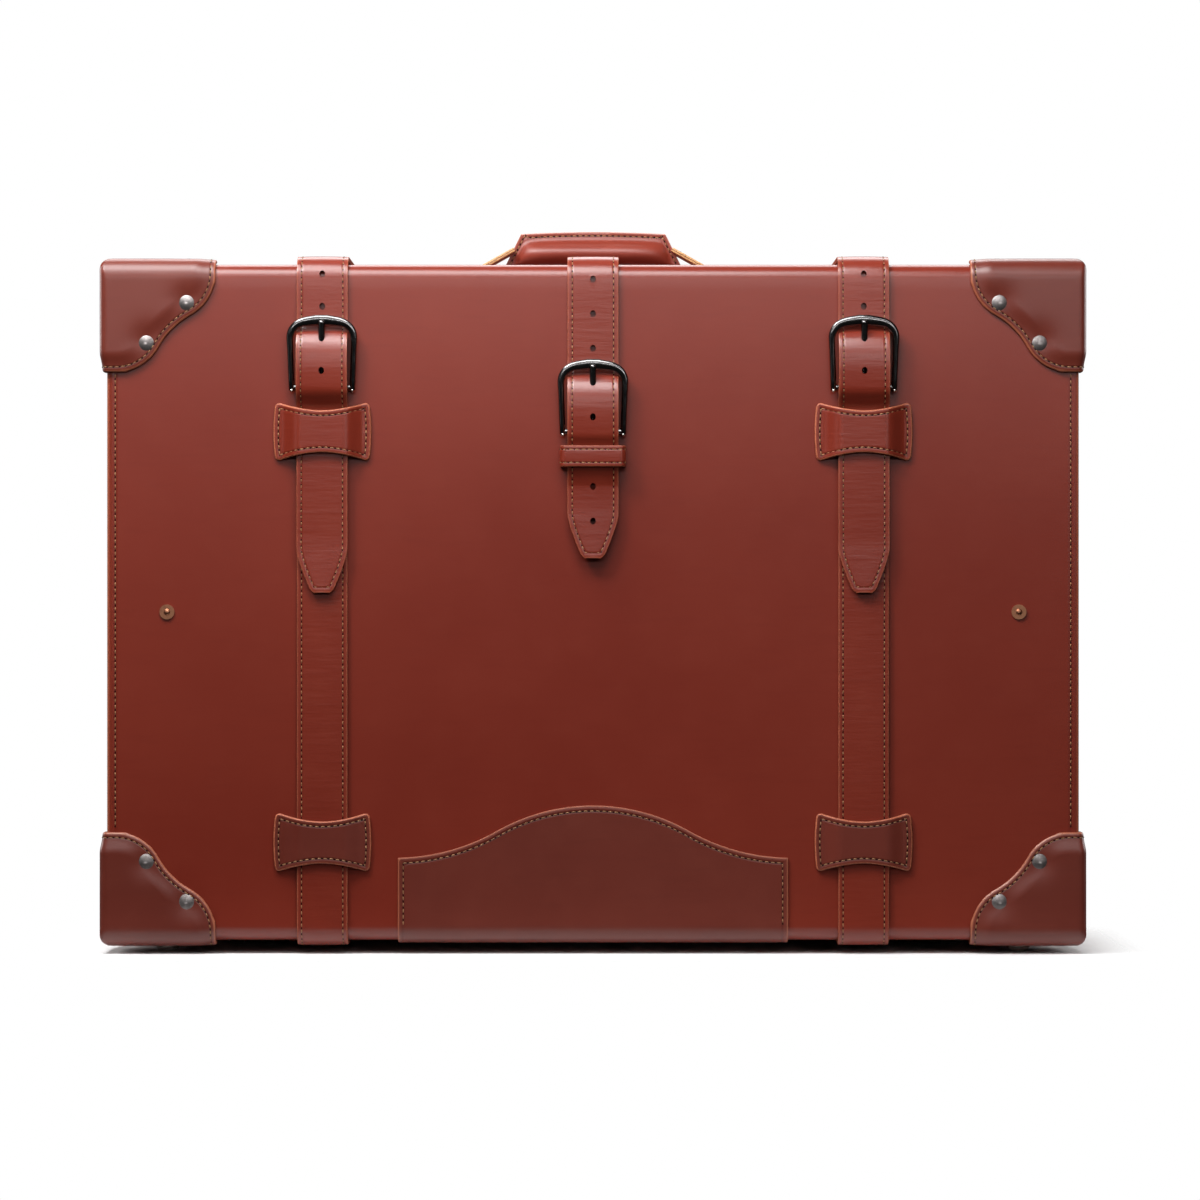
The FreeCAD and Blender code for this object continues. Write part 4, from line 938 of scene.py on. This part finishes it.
def buckle_band(name, pivot, more_points, more_radii, crown, seam_start):
    """A band from behind the buckle bar, out over it, down to the front of the case and on."""
    bar = pivot.z
    crest = bar + BAR_TURN
    points = [(front - STRAP_MIDDLE, bar - CHAPE_BACK), (front - STRAP_MIDDLE, crest),
              (front - OVER_BAR, crest), (front - OVER_BAR, bar - CHAPE_START),
              (front - STRAP_MIDDLE, bar - CHAPE_START - CHAPE_STEP)]
    radii = [BAR_BEND, BAR_BEND, CHAPE_BEND, CHAPE_BEND]
    path = upright(points + more_points, radii + more_radii)
    strip = Strip(name, path, X_AXIS, pivot, STRAP_HALF, STRAP_THICK, crown=crown)
    band = strip.finish(STRAP_LEATHER, STRAP_EDGE, holes=[tongue_slot(pivot.x, bar)])
    return sew(band, strip.seam(-1, seam_start), strip.seam(1, seam_start))


def make_lower_strap(side):
    """From the buckle down the front and under the case, past the hinge line."""
    pivot = joint_place[f"{side}_frame_swing"]
    round_under = [(front - STRAP_MIDDLE, strap_under), (parting + HINGE_OVERLAP, strap_under)]
    strap = buckle_band(f"{side}_lower_strap", pivot, round_under, [UNDER_TURN], LOWER_CROWN,
                        LOWER_SEAM_START)
    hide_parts(f"{side}_strap_front")
    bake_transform(strap)


def make_chape():
    """The short band that holds the centre buckle."""
    pivot = joint_place["centre_frame_swing"]
    end = [(front - STRAP_MIDDLE, pivot.z - CHAPE_LENGTH)]
    chape = buckle_band("centre_chape_leather", pivot, end, [], 0.0, CHAPE_SEAM_START)
    carry(chape, "lid", "strap_leather", "centre_chape")


def make_straps():
    behind = back + STRAP_MIDDLE
    round_back = [(parting + HINGE_OVERLAP, strap_under), (behind, strap_under), (behind, strap_crown)]
    for side in ("left", "right"):
        make_upper_strap(side, round_back, [UNDER_TURN, STRAP_TURN], SIDE_HOLE_PITCH, SIDE_HOLES_BELOW,
                         SIDE_FALL)
        make_lower_strap(side)
    strap_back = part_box("centre_strap_back")[1].y
    low = top + STRAP_MIDDLE
    rise = [(strap_back, low), (parting + CENTRE_RISE, low), (parting, strap_crown)]
    make_upper_strap("centre", rise, [CENTRE_SWEEP, CENTRE_SWEEP], CENTRE_HOLE_PITCH, CENTRE_HOLES_BELOW,
                     CENTRE_FALL)


def make_centre_loop():
    low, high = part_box("centre_loop")
    side = high.x - LOOP_THICK / 2
    crest = low.y + LOOP_THICK / 2
    points = [(-side, high.y), (-side, crest), (side, crest), (side, high.y)]
    flat = rounded(points, [LOOP_TURN, LOOP_TURN])
    path = [Vector((place.x, place.y, 0)) for place in flat]
    strip = Strip("centre_loop_leather", path, Z_AXIS, (low + high) / 2, (high.z - low.z) / 2, LOOP_THICK,
                  seam=LOOP_SEAM, crown=LOOP_CROWN)
    loop = strip.finish(STRAP_LEATHER, STRAP_EDGE, THIN_BEVEL)
    sew(loop, strip.seam(-1), strip.seam(1))
    carry(loop, "lid", "strap_leather", "centre_loop")


make_straps()
make_chape()
make_centre_loop()


# Buckles

def make_buckle_frame(side):
    """A cast frame of rounded section, widest at its shoulders, with its bar and bright bar ends."""
    pivot = joint_place[f"{side}_frame_swing"]
    points = [(FRAME_FOOT, -FRAME_DROP), (FRAME_SHOULDER, FRAME_SHOULDER_HEIGHT), (0, FRAME_CREST),
              (-FRAME_SHOULDER, FRAME_SHOULDER_HEIGHT), (-FRAME_FOOT, -FRAME_DROP)]
    path = rounded(points, [FRAME_ROUND, FRAME_ARCH, FRAME_ROUND])
    stations = len(path) - 1
    piece = drawn_rod(f"{side}_frame_metal", FRAME_SIDES, stations)
    lean = Matrix.Rotation(FRAME_LEAN, 3, "X")
    places = []
    for x, y, z in places_of(piece):
        station = round((z + 1) / 2 * stations)
        here = path[station]
        ahead = (path[min(station + 1, stations)] - path[max(station - 1, 0)]).normalized()
        head = min(1.0, max(0.0, here.y / (FRAME_CREST * 0.9) - 0.7) / 0.3)
        arch = head * max(0.0, 1 - (here.x / ARCH_HALF) ** 2)
        breadth = FRAME_BREADTH + HEAD_BREADTH * head + ARCH_BREADTH * arch
        spread = math.copysign(abs(x) ** FRAME_SQUARE, x) * breadth
        depth = math.copysign(abs(y) ** FRAME_SQUARE, y) * FRAME_DEEP
        flat = here + Vector((ahead.y, -ahead.x)) * spread
        places.append(pivot + lean @ Vector((flat.x, depth, flat.y)))
    move_to(piece, places)
    face_outwards(piece)
    soften(piece, 0.5 * MM)
    dress(piece, BUCKLE_METAL)
    smooth(piece, 50)
    bar = new_piece("buckle_bar", bpy.ops.mesh.primitive_cylinder_add, vertices=20, radius=BAR_RADIUS,
                    depth=2 * FRAME_FOOT)
    bar.data.transform(Matrix.Translation(pivot) @ Matrix.Rotation(math.pi / 2, 4, "Y"))
    dress(bar, BUCKLE_METAL)
    smooth(bar)
    ends = []
    for sign in (1, -1):
        end = bead("bar_end", BAR_END_SIZE, FOOT_METAL, facets=14)
        place = BAR_END_PLACE * Vector((sign, 1, 1))
        end.data.transform(Matrix.Translation(pivot + lean @ place))
        ends.append(end)
    join(piece, bar, *ends)
    carry(piece, f"{side}_frame", "buckle_metal", f"{side}_buckle_frame")


def make_tongue(side):
    """The tongue, shortened so that its rounded end rests on the face of the arch."""
    piece = bare_copy(frame["nodes"][f"{side}_buckle_tongue"], f"{side}_tongue_metal")
    pivot = joint_place[f"{side}_tongue_swing"]
    places = places_of(piece)
    far = places[:, 2] > pivot.z + TONGUE_END
    run = places[far].mean(axis=0) - np.array(pivot)
    places[far] -= run / np.linalg.norm(run) * TONGUE_SHORTER
    places[:, 0] = pivot.x + (places[:, 0] - pivot.x) * TONGUE_WIDER
    move_to(piece, places)
    dress(piece, BUCKLE_METAL)
    smooth(piece, 50)
    carry(piece, f"{side}_tongue", "buckle_metal", f"{side}_buckle_tongue")


for side in ("left", "centre", "right"):
    make_buckle_frame(side)
    make_tongue(side)


# Corner caps

def petal_line(reach, fall, inset, first_edge, last_edge):
    """A cap's outline on one face, drawn in by inset, out to the middle of the rounded edge at each end."""
    lobe, notch, start = CAP_LOBE, CAP_NOTCH, CAP_STRAIGHT
    count = 40
    first = Vector((reach - lobe, start))
    second = Vector((start, fall - lobe))
    chord = second - first
    rise = math.sqrt((lobe + notch) ** 2 - (chord.length / 2) ** 2)
    hollow = first + chord / 2 + Vector((chord.y, -chord.x)).normalized() * rise

    def sweep(centre, radius, begin, finish):
        turn = (finish - begin + math.pi) % (2 * math.pi) - math.pi
        angles = [begin + turn * step / count for step in range(count + 1)]
        return [centre + Vector((math.cos(angle), math.sin(angle))) * radius for angle in angles]

    def bearing(centre, goal):
        return math.atan2(goal.y - centre.y, goal.x - centre.x)

    def to_edge(radius):
        edge = radius * (1 - math.sqrt(0.5)) - CAP_PROUD
        return [edge + (start - edge) * step / 10 for step in range(10)]

    return ([Vector((reach - inset, rest)) for rest in to_edge(first_edge)]
            + sweep(first, lobe - inset, 0, bearing(first, hollow))
            + sweep(hollow, notch + inset, bearing(hollow, first), bearing(hollow, second))
            + sweep(second, lobe - inset, bearing(second, hollow), math.pi / 2)
            + [Vector((rest, fall - inset)) for rest in reversed(to_edge(last_edge))])


def cap_loop(inset):
    """The cap's whole outline round the lid's top left corner, drawn in by inset."""
    brow = EDGE_RADIUS + CAP_PROUD
    line = []

    def fall(rest, radius):
        """How far a rounded edge falls back from the face at a place near it."""
        into = max(radius - CAP_PROUD - rest, 0)
        return radius - math.sqrt(max(radius ** 2 - into ** 2, 0))

    for across, down in petal_line(CAP_REACH, CAP_REACH, inset, brow, CAP_UPRIGHT):
        sunk = fall(down, brow) + fall(across, CAP_UPRIGHT)
        line.append(cap_corner + Vector((across, sunk - CAP_PROUD, -down)))
    for down, deep in petal_line(CAP_REACH, CAP_DEPTH, inset, CAP_UPRIGHT, CAP_CORNER):
        sunk = fall(deep, CAP_UPRIGHT) + fall(down, CAP_CORNER)
        line.append(cap_corner + Vector((sunk - CAP_PROUD, deep, -down)))
    for deep, across in petal_line(CAP_DEPTH, CAP_REACH, inset, CAP_CORNER, brow):
        sunk = fall(across, CAP_CORNER) + fall(deep, brow)
        line.append(cap_corner + Vector((across, deep, CAP_PROUD - sunk)))
    return line + [line[0]]


def cap_rivet_places():
    """Heads of the cap's rivets near the lid's top left corner."""
    places = places_of(frame["nodes"]["lid_cap_rivets"])
    corner = np.array(cap_corner)
    near = places[np.abs(places - corner).max(axis=1) < CAP_REACH]
    heads = []
    for axis, sign in ((0, -1), (1, -1), (2, 1)):
        level = corner[axis] + sign * CAP_PROUD
        for place in near[(near[:, axis] - level) * sign > RIVET_DOME]:
            if all(np.linalg.norm(place - head) > RIVET_APART for head in heads):
                heads.append(place)
    return heads


def swell_cap(cap):
    """Fill the cap out as pressed leather, but not at its edge or round its rivets.

    Gives each vertex's distance from the cut edge, and how far it faces out of the case.
    """
    places = places_of(cap)
    distance = distance_to(places, np.array(cap_loop(0)))
    normals = np.zeros(len(places) * 3)
    cap.data.vertices.foreach_get("normal", normals)
    normals = normals.reshape(-1, 3)
    away = places - np.array(cap_corner) - CAP_INWARDS * CAP_DEPTH
    away /= np.linalg.norm(away, axis=1)[:, None]
    outer = np.clip((normals * away).sum(axis=1) * 4 - 0.4, 0, 1)
    puff = eased(np.clip((distance - CAP_SWELL_START) / CAP_SWELL_RUN, 0, 1))
    for head in cap_rivet_places():
        puff *= 1 - np.exp(-(np.linalg.norm(places - head, axis=1) / CAP_DIMPLE) ** 2)
    swell = np.abs(normals) @ np.array(CAP_SWELL)
    move_to(cap, places + normals * (puff * outer * swell)[:, None])
    return distance, outer


def make_first_cap():
    """The cap of the lid's top left corner, with its cut edge and its seam."""
    cap = bare_copy(frame["nodes"]["lid_cap_top_left"], "lid_cap_top_left_leather")
    apply(cap, "REMESH", mode="VOXEL", voxel_size=CAP_VOXEL)
    apply(cap, "SMOOTH", factor=0.5, iterations=20)
    depth = ((np.array(cap_corner) - places_of(cap)) * CAP_INWARDS).max(axis=1)
    distance, outer = swell_cap(cap)
    dress(cap, TRIM_LEATHER, RAW_EDGE)
    # The pressed edge is rounded, so the cut shows from a little way in
    mark_rim(cap, np.maximum(distance - CAP_ROUND, 0), CAP_SEAM - CAP_ROUND)
    mark(cap, "layer", depth / CAP_PROUD)
    sides = (distance < CAP_CUT) & (outer < 0.9)
    for polygon in cap.data.polygons:
        polygon.material_index = int(sides[list(polygon.vertices)].all())
    hold(cap)
    bpy.ops.object.shade_smooth()
    bpy.context.view_layer.update()
    seam = [cap.closest_point_on_mesh(place)[1:3] for place in cap_loop(CAP_SEAM)]
    return sew(cap, [(place.copy(), out.copy()) for place, out in seam])


def make_caps():
    cap = make_first_cap()
    for half, depth_sign in (("lid", 1), ("base", -1)):
        for level, height_sign in (("top", 1), ("bottom", -1)):
            for side, side_sign in (("left", 1), ("right", -1)):
                node = f"{half}_cap_{level}_{side}"
                signs = (side_sign, depth_sign, height_sign)
                flip = Matrix.Diagonal((*signs, 1))
                turn = Matrix.Translation(middle) @ flip @ Matrix.Translation(-middle)
                copy = cap if signs == (1, 1, 1) else twin(cap, f"{node}_leather", turn)
                carry(copy, half, "trim_leather", node)


make_caps()


# Bow-tie keepers

def keeper_rise(across, clear):
    """How far the keeper's middle stands off the case, where a strap passes under it."""
    low = STRAP_GAP + KEEPER_THICK / 2
    high = low + (clear - STRAP_GAP) * KEEPER_FULLNESS
    share = np.clip((KEEPER_FOOT - np.abs(across)) / (KEEPER_FOOT - KEEPER_SHOULDER), 0, 1)
    return low + (high - low) * eased(share)


def keeper_place(across, up):
    """A place on the bow tie from shares of its width and height, with its corners rounded."""
    round_across, round_up = KEEPER_CORNER / KEEPER_HALF, KEEPER_CORNER / KEEPER_TALL
    over = np.clip((np.abs(across) - 1 + round_across) / round_across, 0, 1)
    above = np.clip((np.abs(up) - 1 + round_up) / round_up, 0, 1)
    across = across + np.sign(across) * round_across * over * (np.sqrt(1 - above ** 2 / 2) - 1)
    up = up + np.sign(up) * round_up * above * (np.sqrt(1 - over ** 2 / 2) - 1)
    half_tall = KEEPER_WAIST + (KEEPER_TALL - KEEPER_WAIST) * np.abs(across) ** 1.8
    bulge = KEEPER_BULGE * (1 - up ** 2)
    return across * KEEPER_HALF + np.sign(across) * bulge * np.abs(across) ** 6, up * half_tall


def make_keeper(name, clear, hide):
    """A keeper at the origin, facing -Y, with the case at Y = 0."""
    piece = new_piece(name, bpy.ops.mesh.primitive_grid_add, x_subdivisions=44, y_subdivisions=24, size=2)
    flat = places_of(piece)
    across, up = keeper_place(flat[:, 0], flat[:, 1])
    move_to(piece, np.column_stack((across, -keeper_rise(across, clear), up)))
    face_front(piece)
    dress(piece, hide, RAW_EDGE)
    thicken(piece, KEEPER_THICK)
    soften(piece, STRAP_BEVEL, material=1)
    # The outline and the seam inside it, followed round from the same grid
    count = 40
    steps = [2 * step / count - 1 for step in range(count)]
    square = ([(step, 1) for step in steps] + [(1, -step) for step in steps]
              + [(-step, -1) for step in steps] + [(-1, step) for step in steps])
    outline = np.array([keeper_place(np.array(across), np.array(up)) for across, up in square])
    mark_rim(piece, distance_to(places_of(piece)[:, [0, 2]], outline), KEEPER_SEAM)
    smooth(piece, 50)
    line = []
    for before, point, after in zip(np.roll(outline, 1, axis=0), outline, np.roll(outline, -1, axis=0)):
        run = after - before
        inward = np.array((run[1], -run[0])) / np.linalg.norm(run)
        x, z = point + inward * KEEPER_SEAM
        y = -float(keeper_rise(np.array(x), clear)) - KEEPER_THICK / 2
        line.append((Vector((x, y, z)), -Y_AXIS))
    return sew(piece, line + [line[0]])


def make_keepers():
    single = STRAP_GAP + STRAP_THICK + KEEPER_CLEAR
    double = single + STRAP_GAP + STRAP_THICK
    low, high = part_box("left_keepers")
    upper = high.z - KEEPER_TALL
    lower = low.z + KEEPER_TALL
    thick_keeper = make_keeper("left_upper_keeper", double, STRAP_LEATHER)
    thin_keeper = make_keeper("left_lower_keeper", single, TRIM_LEATHER)
    turned = Matrix.Rotation(math.pi, 4, "Z")
    for side in ("left", "right"):
        across = joint_place[f"{side}_frame_swing"].x
        for level, height, keeper in (("upper", upper, thick_keeper), ("lower", lower, thin_keeper)):
            place = Matrix.Translation((across, front, height))
            piece = twin(keeper, f"{side}_{level}_keeper_leather", place)
            carry(piece, "lid", "trim_leather", f"{side}_keepers")
        for level, height in (("upper", upper), ("lower", lower)):
            place = Matrix.Translation((across, back, height))
            behind = twin(thin_keeper, f"{side}_{level}_back_keeper_leather", place @ turned)
            carry(behind, "base", "trim_leather", "back_keepers")
    bpy.data.objects.remove(thick_keeper)
    bpy.data.objects.remove(thin_keeper)


make_keepers()


# Arched patch

def patch_height(across):
    """The patch's upper edge above the case's bottom: a crown between two hollow sweeps."""
    hollow_height = PATCH_SHOULDER + PATCH_SWEEP
    crown_height = PATCH_PEAK - PATCH_CROWN
    hollow_across = math.sqrt((PATCH_CROWN + PATCH_SWEEP) ** 2 - (hollow_height - crown_height) ** 2)
    meet = hollow_across * PATCH_CROWN / (PATCH_CROWN + PATCH_SWEEP)
    far = abs(across)
    if far < meet:
        return crown_height + math.sqrt(PATCH_CROWN ** 2 - far ** 2)
    return hollow_height - math.sqrt(PATCH_SWEEP ** 2 - (far - hollow_across) ** 2)


def patch_seam_height(across):
    """The seam's height, an even distance inside the upper edge."""
    step = 0.5 * MM
    slope = (patch_height(across + step) - patch_height(across - step)) / (2 * step)
    return patch_height(across) - PATCH_SEAM * math.sqrt(1 + slope ** 2)


def make_patch():
    proud = STRAP_GAP + PATCH_THICK / 2
    turn = EDGE_RADIUS + proud
    quarter = turn * math.pi / 2
    piece = new_piece("lid_patch_leather", bpy.ops.mesh.primitive_grid_add, x_subdivisions=120,
                      y_subdivisions=30, size=2)
    places = []
    for across, up, _ in places_of(piece):
        x = across * PATCH_HALF
        run = (up + 1) / 2 * (patch_height(x) - EDGE_RADIUS + quarter)
        if run < quarter:
            angle = run / turn
            places.append((x, front + EDGE_RADIUS - math.sin(angle) * turn,
                           bottom + EDGE_RADIUS - math.cos(angle) * turn))
        else:
            places.append((x, front - proud, bottom + EDGE_RADIUS + run - quarter))
    move_to(piece, places)
    face_front(piece)
    dress(piece, TRIM_LEATHER, RAW_EDGE)
    thicken(piece, PATCH_THICK)
    soften(piece, 0.4 * MM)
    rim = []
    for x, _, z in places_of(piece):
        over = min(abs(x), PATCH_HALF)
        rim.append(min(PATCH_HALF - abs(x), abs(patch_height(over) - (z - bottom))))
    mark_rim(piece, rim, PATCH_SEAM)
    smooth(piece)
    surface = front - STRAP_GAP - PATCH_THICK
    side = PATCH_HALF - PATCH_SEAM
    count = 80
    over = [side * (2 * step / count - 1) for step in range(count + 1)]
    seam = [(-side, EDGE_RADIUS), *[(x, patch_seam_height(x)) for x in over], (side, EDGE_RADIUS)]
    sew(piece, [(Vector((x, surface, bottom + height)), -Y_AXIS) for x, height in seam])
    carry(piece, "lid", "trim_leather", "lid_patch")


make_patch()


# Handle

def make_grip():
    """Two sheets sewn together round a cord: a full belly below, a flat welt above and at the ends."""
    low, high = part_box("handle_grip")
    # The padded belly hangs a little below the construction's
    low.z -= GRIP_SAG
    centre = (low + high) / 2
    foot_half = (high.x - low.x) / 2
    head_half = foot_half - GRIP_TAPER
    rise = high.z - low.z
    belly_half = (high.y - low.y) / 2
    piece = drawn_rod("handle_grip_leather", GRIP_SIDES, GRIP_STATIONS)
    places = []
    distances = []
    for x, y, along in places_of(piece):
        angle = math.atan2(y, x)
        # Share of the height, from the belly's foot to the welt's head, and the side it is on
        up = (1 + math.sin(angle)) / 2
        side = math.cos(angle)
        head = rise * (1 - GRIP_ARCH * along ** 2)
        height = head * up
        half = foot_half - GRIP_TAPER * up
        # The belly closes towards both ends, and under the welt
        fullness = max(0.0, 1 - (abs(along) / 0.9) ** 5) ** 0.6
        profile = math.sin(up / GRIP_BELLY_TOP * math.pi) ** 0.75 if 0 < up < GRIP_BELLY_TOP else 0.0
        depth = GRIP_WELT + (belly_half - GRIP_WELT) * fullness * profile
        shape = math.copysign(min(1.0, abs(side) * 3), side)
        places.append((centre.x + along * half, centre.y + shape * depth, low.z + height))
        distances.append(min(head - height, (1 - abs(along)) * half))
    move_to(piece, places)
    face_outwards(piece)
    dress(piece, GRIP_LEATHER, RAW_EDGE)
    mark_rim(piece, distances, GRIP_SEAM)
    for polygon in piece.data.polygons:
        at_edge = min(distances[index] for index in polygon.vertices) < 0.5 * MM
        polygon.material_index = int(at_edge and abs(polygon.normal.y) < 0.5)
    smooth(piece, 55)
    # The seam climbs one end, follows the arched head and comes down the other end
    count = 30
    climb = []
    for step in range(count + 1):
        share = step / count
        climb.append((GRIP_SEAM - foot_half + GRIP_TAPER * share, rise * GRIP_CLIMB * share))
    over = []
    for step in range(1, 2 * count + 1):
        share = step / count - 1
        over.append((share * (head_half - GRIP_SEAM), rise * (1 - GRIP_ARCH * share ** 2) - GRIP_SEAM))
    outline = climb + over + [(-across, height) for across, height in reversed(climb)]
    lines = []
    for side in (-1, 1):
        surface = centre.y + side * (GRIP_WELT + 0.1 * MM)
        lines.append([(Vector((centre.x + across, surface, low.z + height)), Y_AXIS * side)
                      for across, height in outline])
    sew(piece, *lines)
    carry(piece, "handle", "strap_leather", "handle_grip")


def make_tails():
    low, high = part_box("handle_right_tail")
    lying = low.z + TAIL_THICK / 2
    leaving = high.z - TAIL_THICK / 2
    middle_place = Vector((0, (low.y + high.y) / 2, 0))
    for side, sign in (("left", -1), ("right", 1)):
        tucked = Vector((low.x, leaving)) + TAIL_TUCK
        points = [tucked, (TAIL_LANDING, lying), (high.x, lying)]
        flat = [Vector((sign * place.x, place.y)) for place in rounded(points, [TAIL_TURN])]
        if sign < 0:
            flat.reverse()
        path = [Vector((place.x, 0, place.y)) for place in flat]
        strip = Strip(f"handle_{side}_tail_leather", path, Y_AXIS, middle_place, (high.y - low.y) / 2,
                      TAIL_THICK, crown=TAIL_CROWN)
        tail = strip.finish(TAIL_LEATHER, TAIL_EDGE)
        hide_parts(f"handle_{side}_tail")
        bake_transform(tail)


make_grip()
make_tails()


# Finishes of the pieces that keep their construction shape

def finish_nodes():
    kinds = {
        "board": BOARD_WOOD, "lip": LIP_WOOD, "lining": LINING_CLOTH, "cap_rivets": RIVET_METAL,
        "top_rivets": RIVET_METAL, "feet": FOOT_METAL, "copper": COPPER, "hinge": HINGE_METAL,
        "handle_loops": HINGE_METAL, "buckle": BUCKLE_METAL, "core": CORE_CORD, "panels": CASE_LEATHER,
        "document_strap": STRAP_LEATHER,
    }
    for name, node in frame["nodes"].items():
        for word, material in kinds.items():
            if word in name:
                dress(node, material)


finish_nodes()
bpy.data.objects.remove(stitch_bead)
bpy.data.objects.remove(hole_shade_bead)


# Stage, light and camera. The view's width is taken at the front of the case

VIEW_WIDTH = 0.803
VIEW_ACROSS = 0.0047
VIEW_HEIGHT = 0.237
DIM_LIGHT = 0.02


def paper(name, colour, light):
    """A pale sheet that fades out into the white round the case."""
    finish = Finish(name, specular_ior_level=0.2)
    fibre = finish.noise(finish.place(), 220.0, 3.0)
    across = finish.node("ShaderNodeSeparateXYZ", "X", {}, {"Vector": finish.place()})
    along = across.beside("Y")
    beside = finish.ramp(abs(across) - half_width, 0.0, 0.05)
    before = finish.ramp(abs(along - middle.y) - (back - front) / 2, 0.005, 0.06)
    fade = (1.0 - beside) * (1.0 - before)
    return finish.wear(base_color=finish.mix(fibre, colour, light), roughness=0.85 + fibre * 0.1,
                       alpha=fade)


def make_floor():
    floor = new_piece("floor", bpy.ops.mesh.primitive_plane_add, size=1)
    floor.data.transform(Matrix.Translation((0, middle.y, 0)) @ Matrix.Diagonal((1.2, 0.5, 1, 1)))
    dress(floor, paper("pale_floor", (0.86, 0.86, 0.86), (0.9, 0.9, 0.9)))


def make_backdrop():
    """White where the camera looks past the case, and almost dark to all other rays."""
    backdrop = Finish("studio", "BACKGROUND", color=(1, 1, 1))
    seen = backdrop.node("ShaderNodeLightPath", "Is Camera Ray", {}, {})
    white = seen.math("MAXIMUM", seen, seen.beside("Is Transmission Ray"))
    bpy.context.scene.world = backdrop.wear(strength=white * (1 - DIM_LIGHT) + DIM_LIGHT)


def add_light(name, place, goal, size, power):
    light = bpy.data.lights.new(name, "AREA")
    light.shape = "RECTANGLE"
    light.size, light.size_y = size
    light.energy = power
    lamp = bpy.data.objects.new(name, light)
    bpy.context.scene.collection.objects.link(lamp)
    lamp.location = place
    lamp.rotation_euler = (Vector(goal) - Vector(place)).to_track_quat("-Z", "Y").to_euler()


def make_lights():
    add_light("overhead_softbox", (-0.2, -0.47, 1.05), (0, front, 0.4), (0.9, 0.35), 11)
    add_light("key_softbox", (-0.85, -0.9, 1.6), (0, front, 0.3), (0.3, 0.3), 14)
    add_light("brow_softbox", (0, -1.0, 1.0), (0, front, 0.44), (1.6, 0.2), 4.5)
    add_light("front_strip", (0, -1.5, 0.70), (0, front, 0.44), (1.6, 0.14), 4.0)
    add_light("left_softbox", (-1.7, -1.2, 0.7), (0, front, 0.25), (0.5, 1.2), 1.1)
    add_light("right_softbox", (1.2, -2.0, 0.75), (0, front, 0.25), (0.4, 0.9), 1.6)
    add_light("rear_softbox", (0, 1.6, 2.2), (0, 0.1, 0.3), (1.8, 1.0), 34)
    for side, sign in (("left", -1), ("right", 1)):
        goal = (sign * half_width, 0, 0.25)
        add_light(f"{side}_end_softbox", (sign * 1.7, 0.45, 0.75), goal, (0.8, 0.9), 16)


def make_camera():
    scene = bpy.context.scene
    lens = bpy.data.cameras.new("camera")
    lens.lens = 135
    lens.sensor_width = 36
    lens.clip_end = 20
    camera = bpy.data.objects.new("camera", lens)
    scene.collection.objects.link(camera)
    distance = VIEW_WIDTH * lens.lens / lens.sensor_width
    camera.location = (VIEW_ACROSS, front - distance, VIEW_HEIGHT)
    camera.rotation_euler = (math.radians(90), 0, 0)
    scene.camera = camera
    scene.view_settings.view_transform = "Standard"


make_floor()
make_backdrop()
make_lights()
make_camera()

bpy.context.view_layer.update()
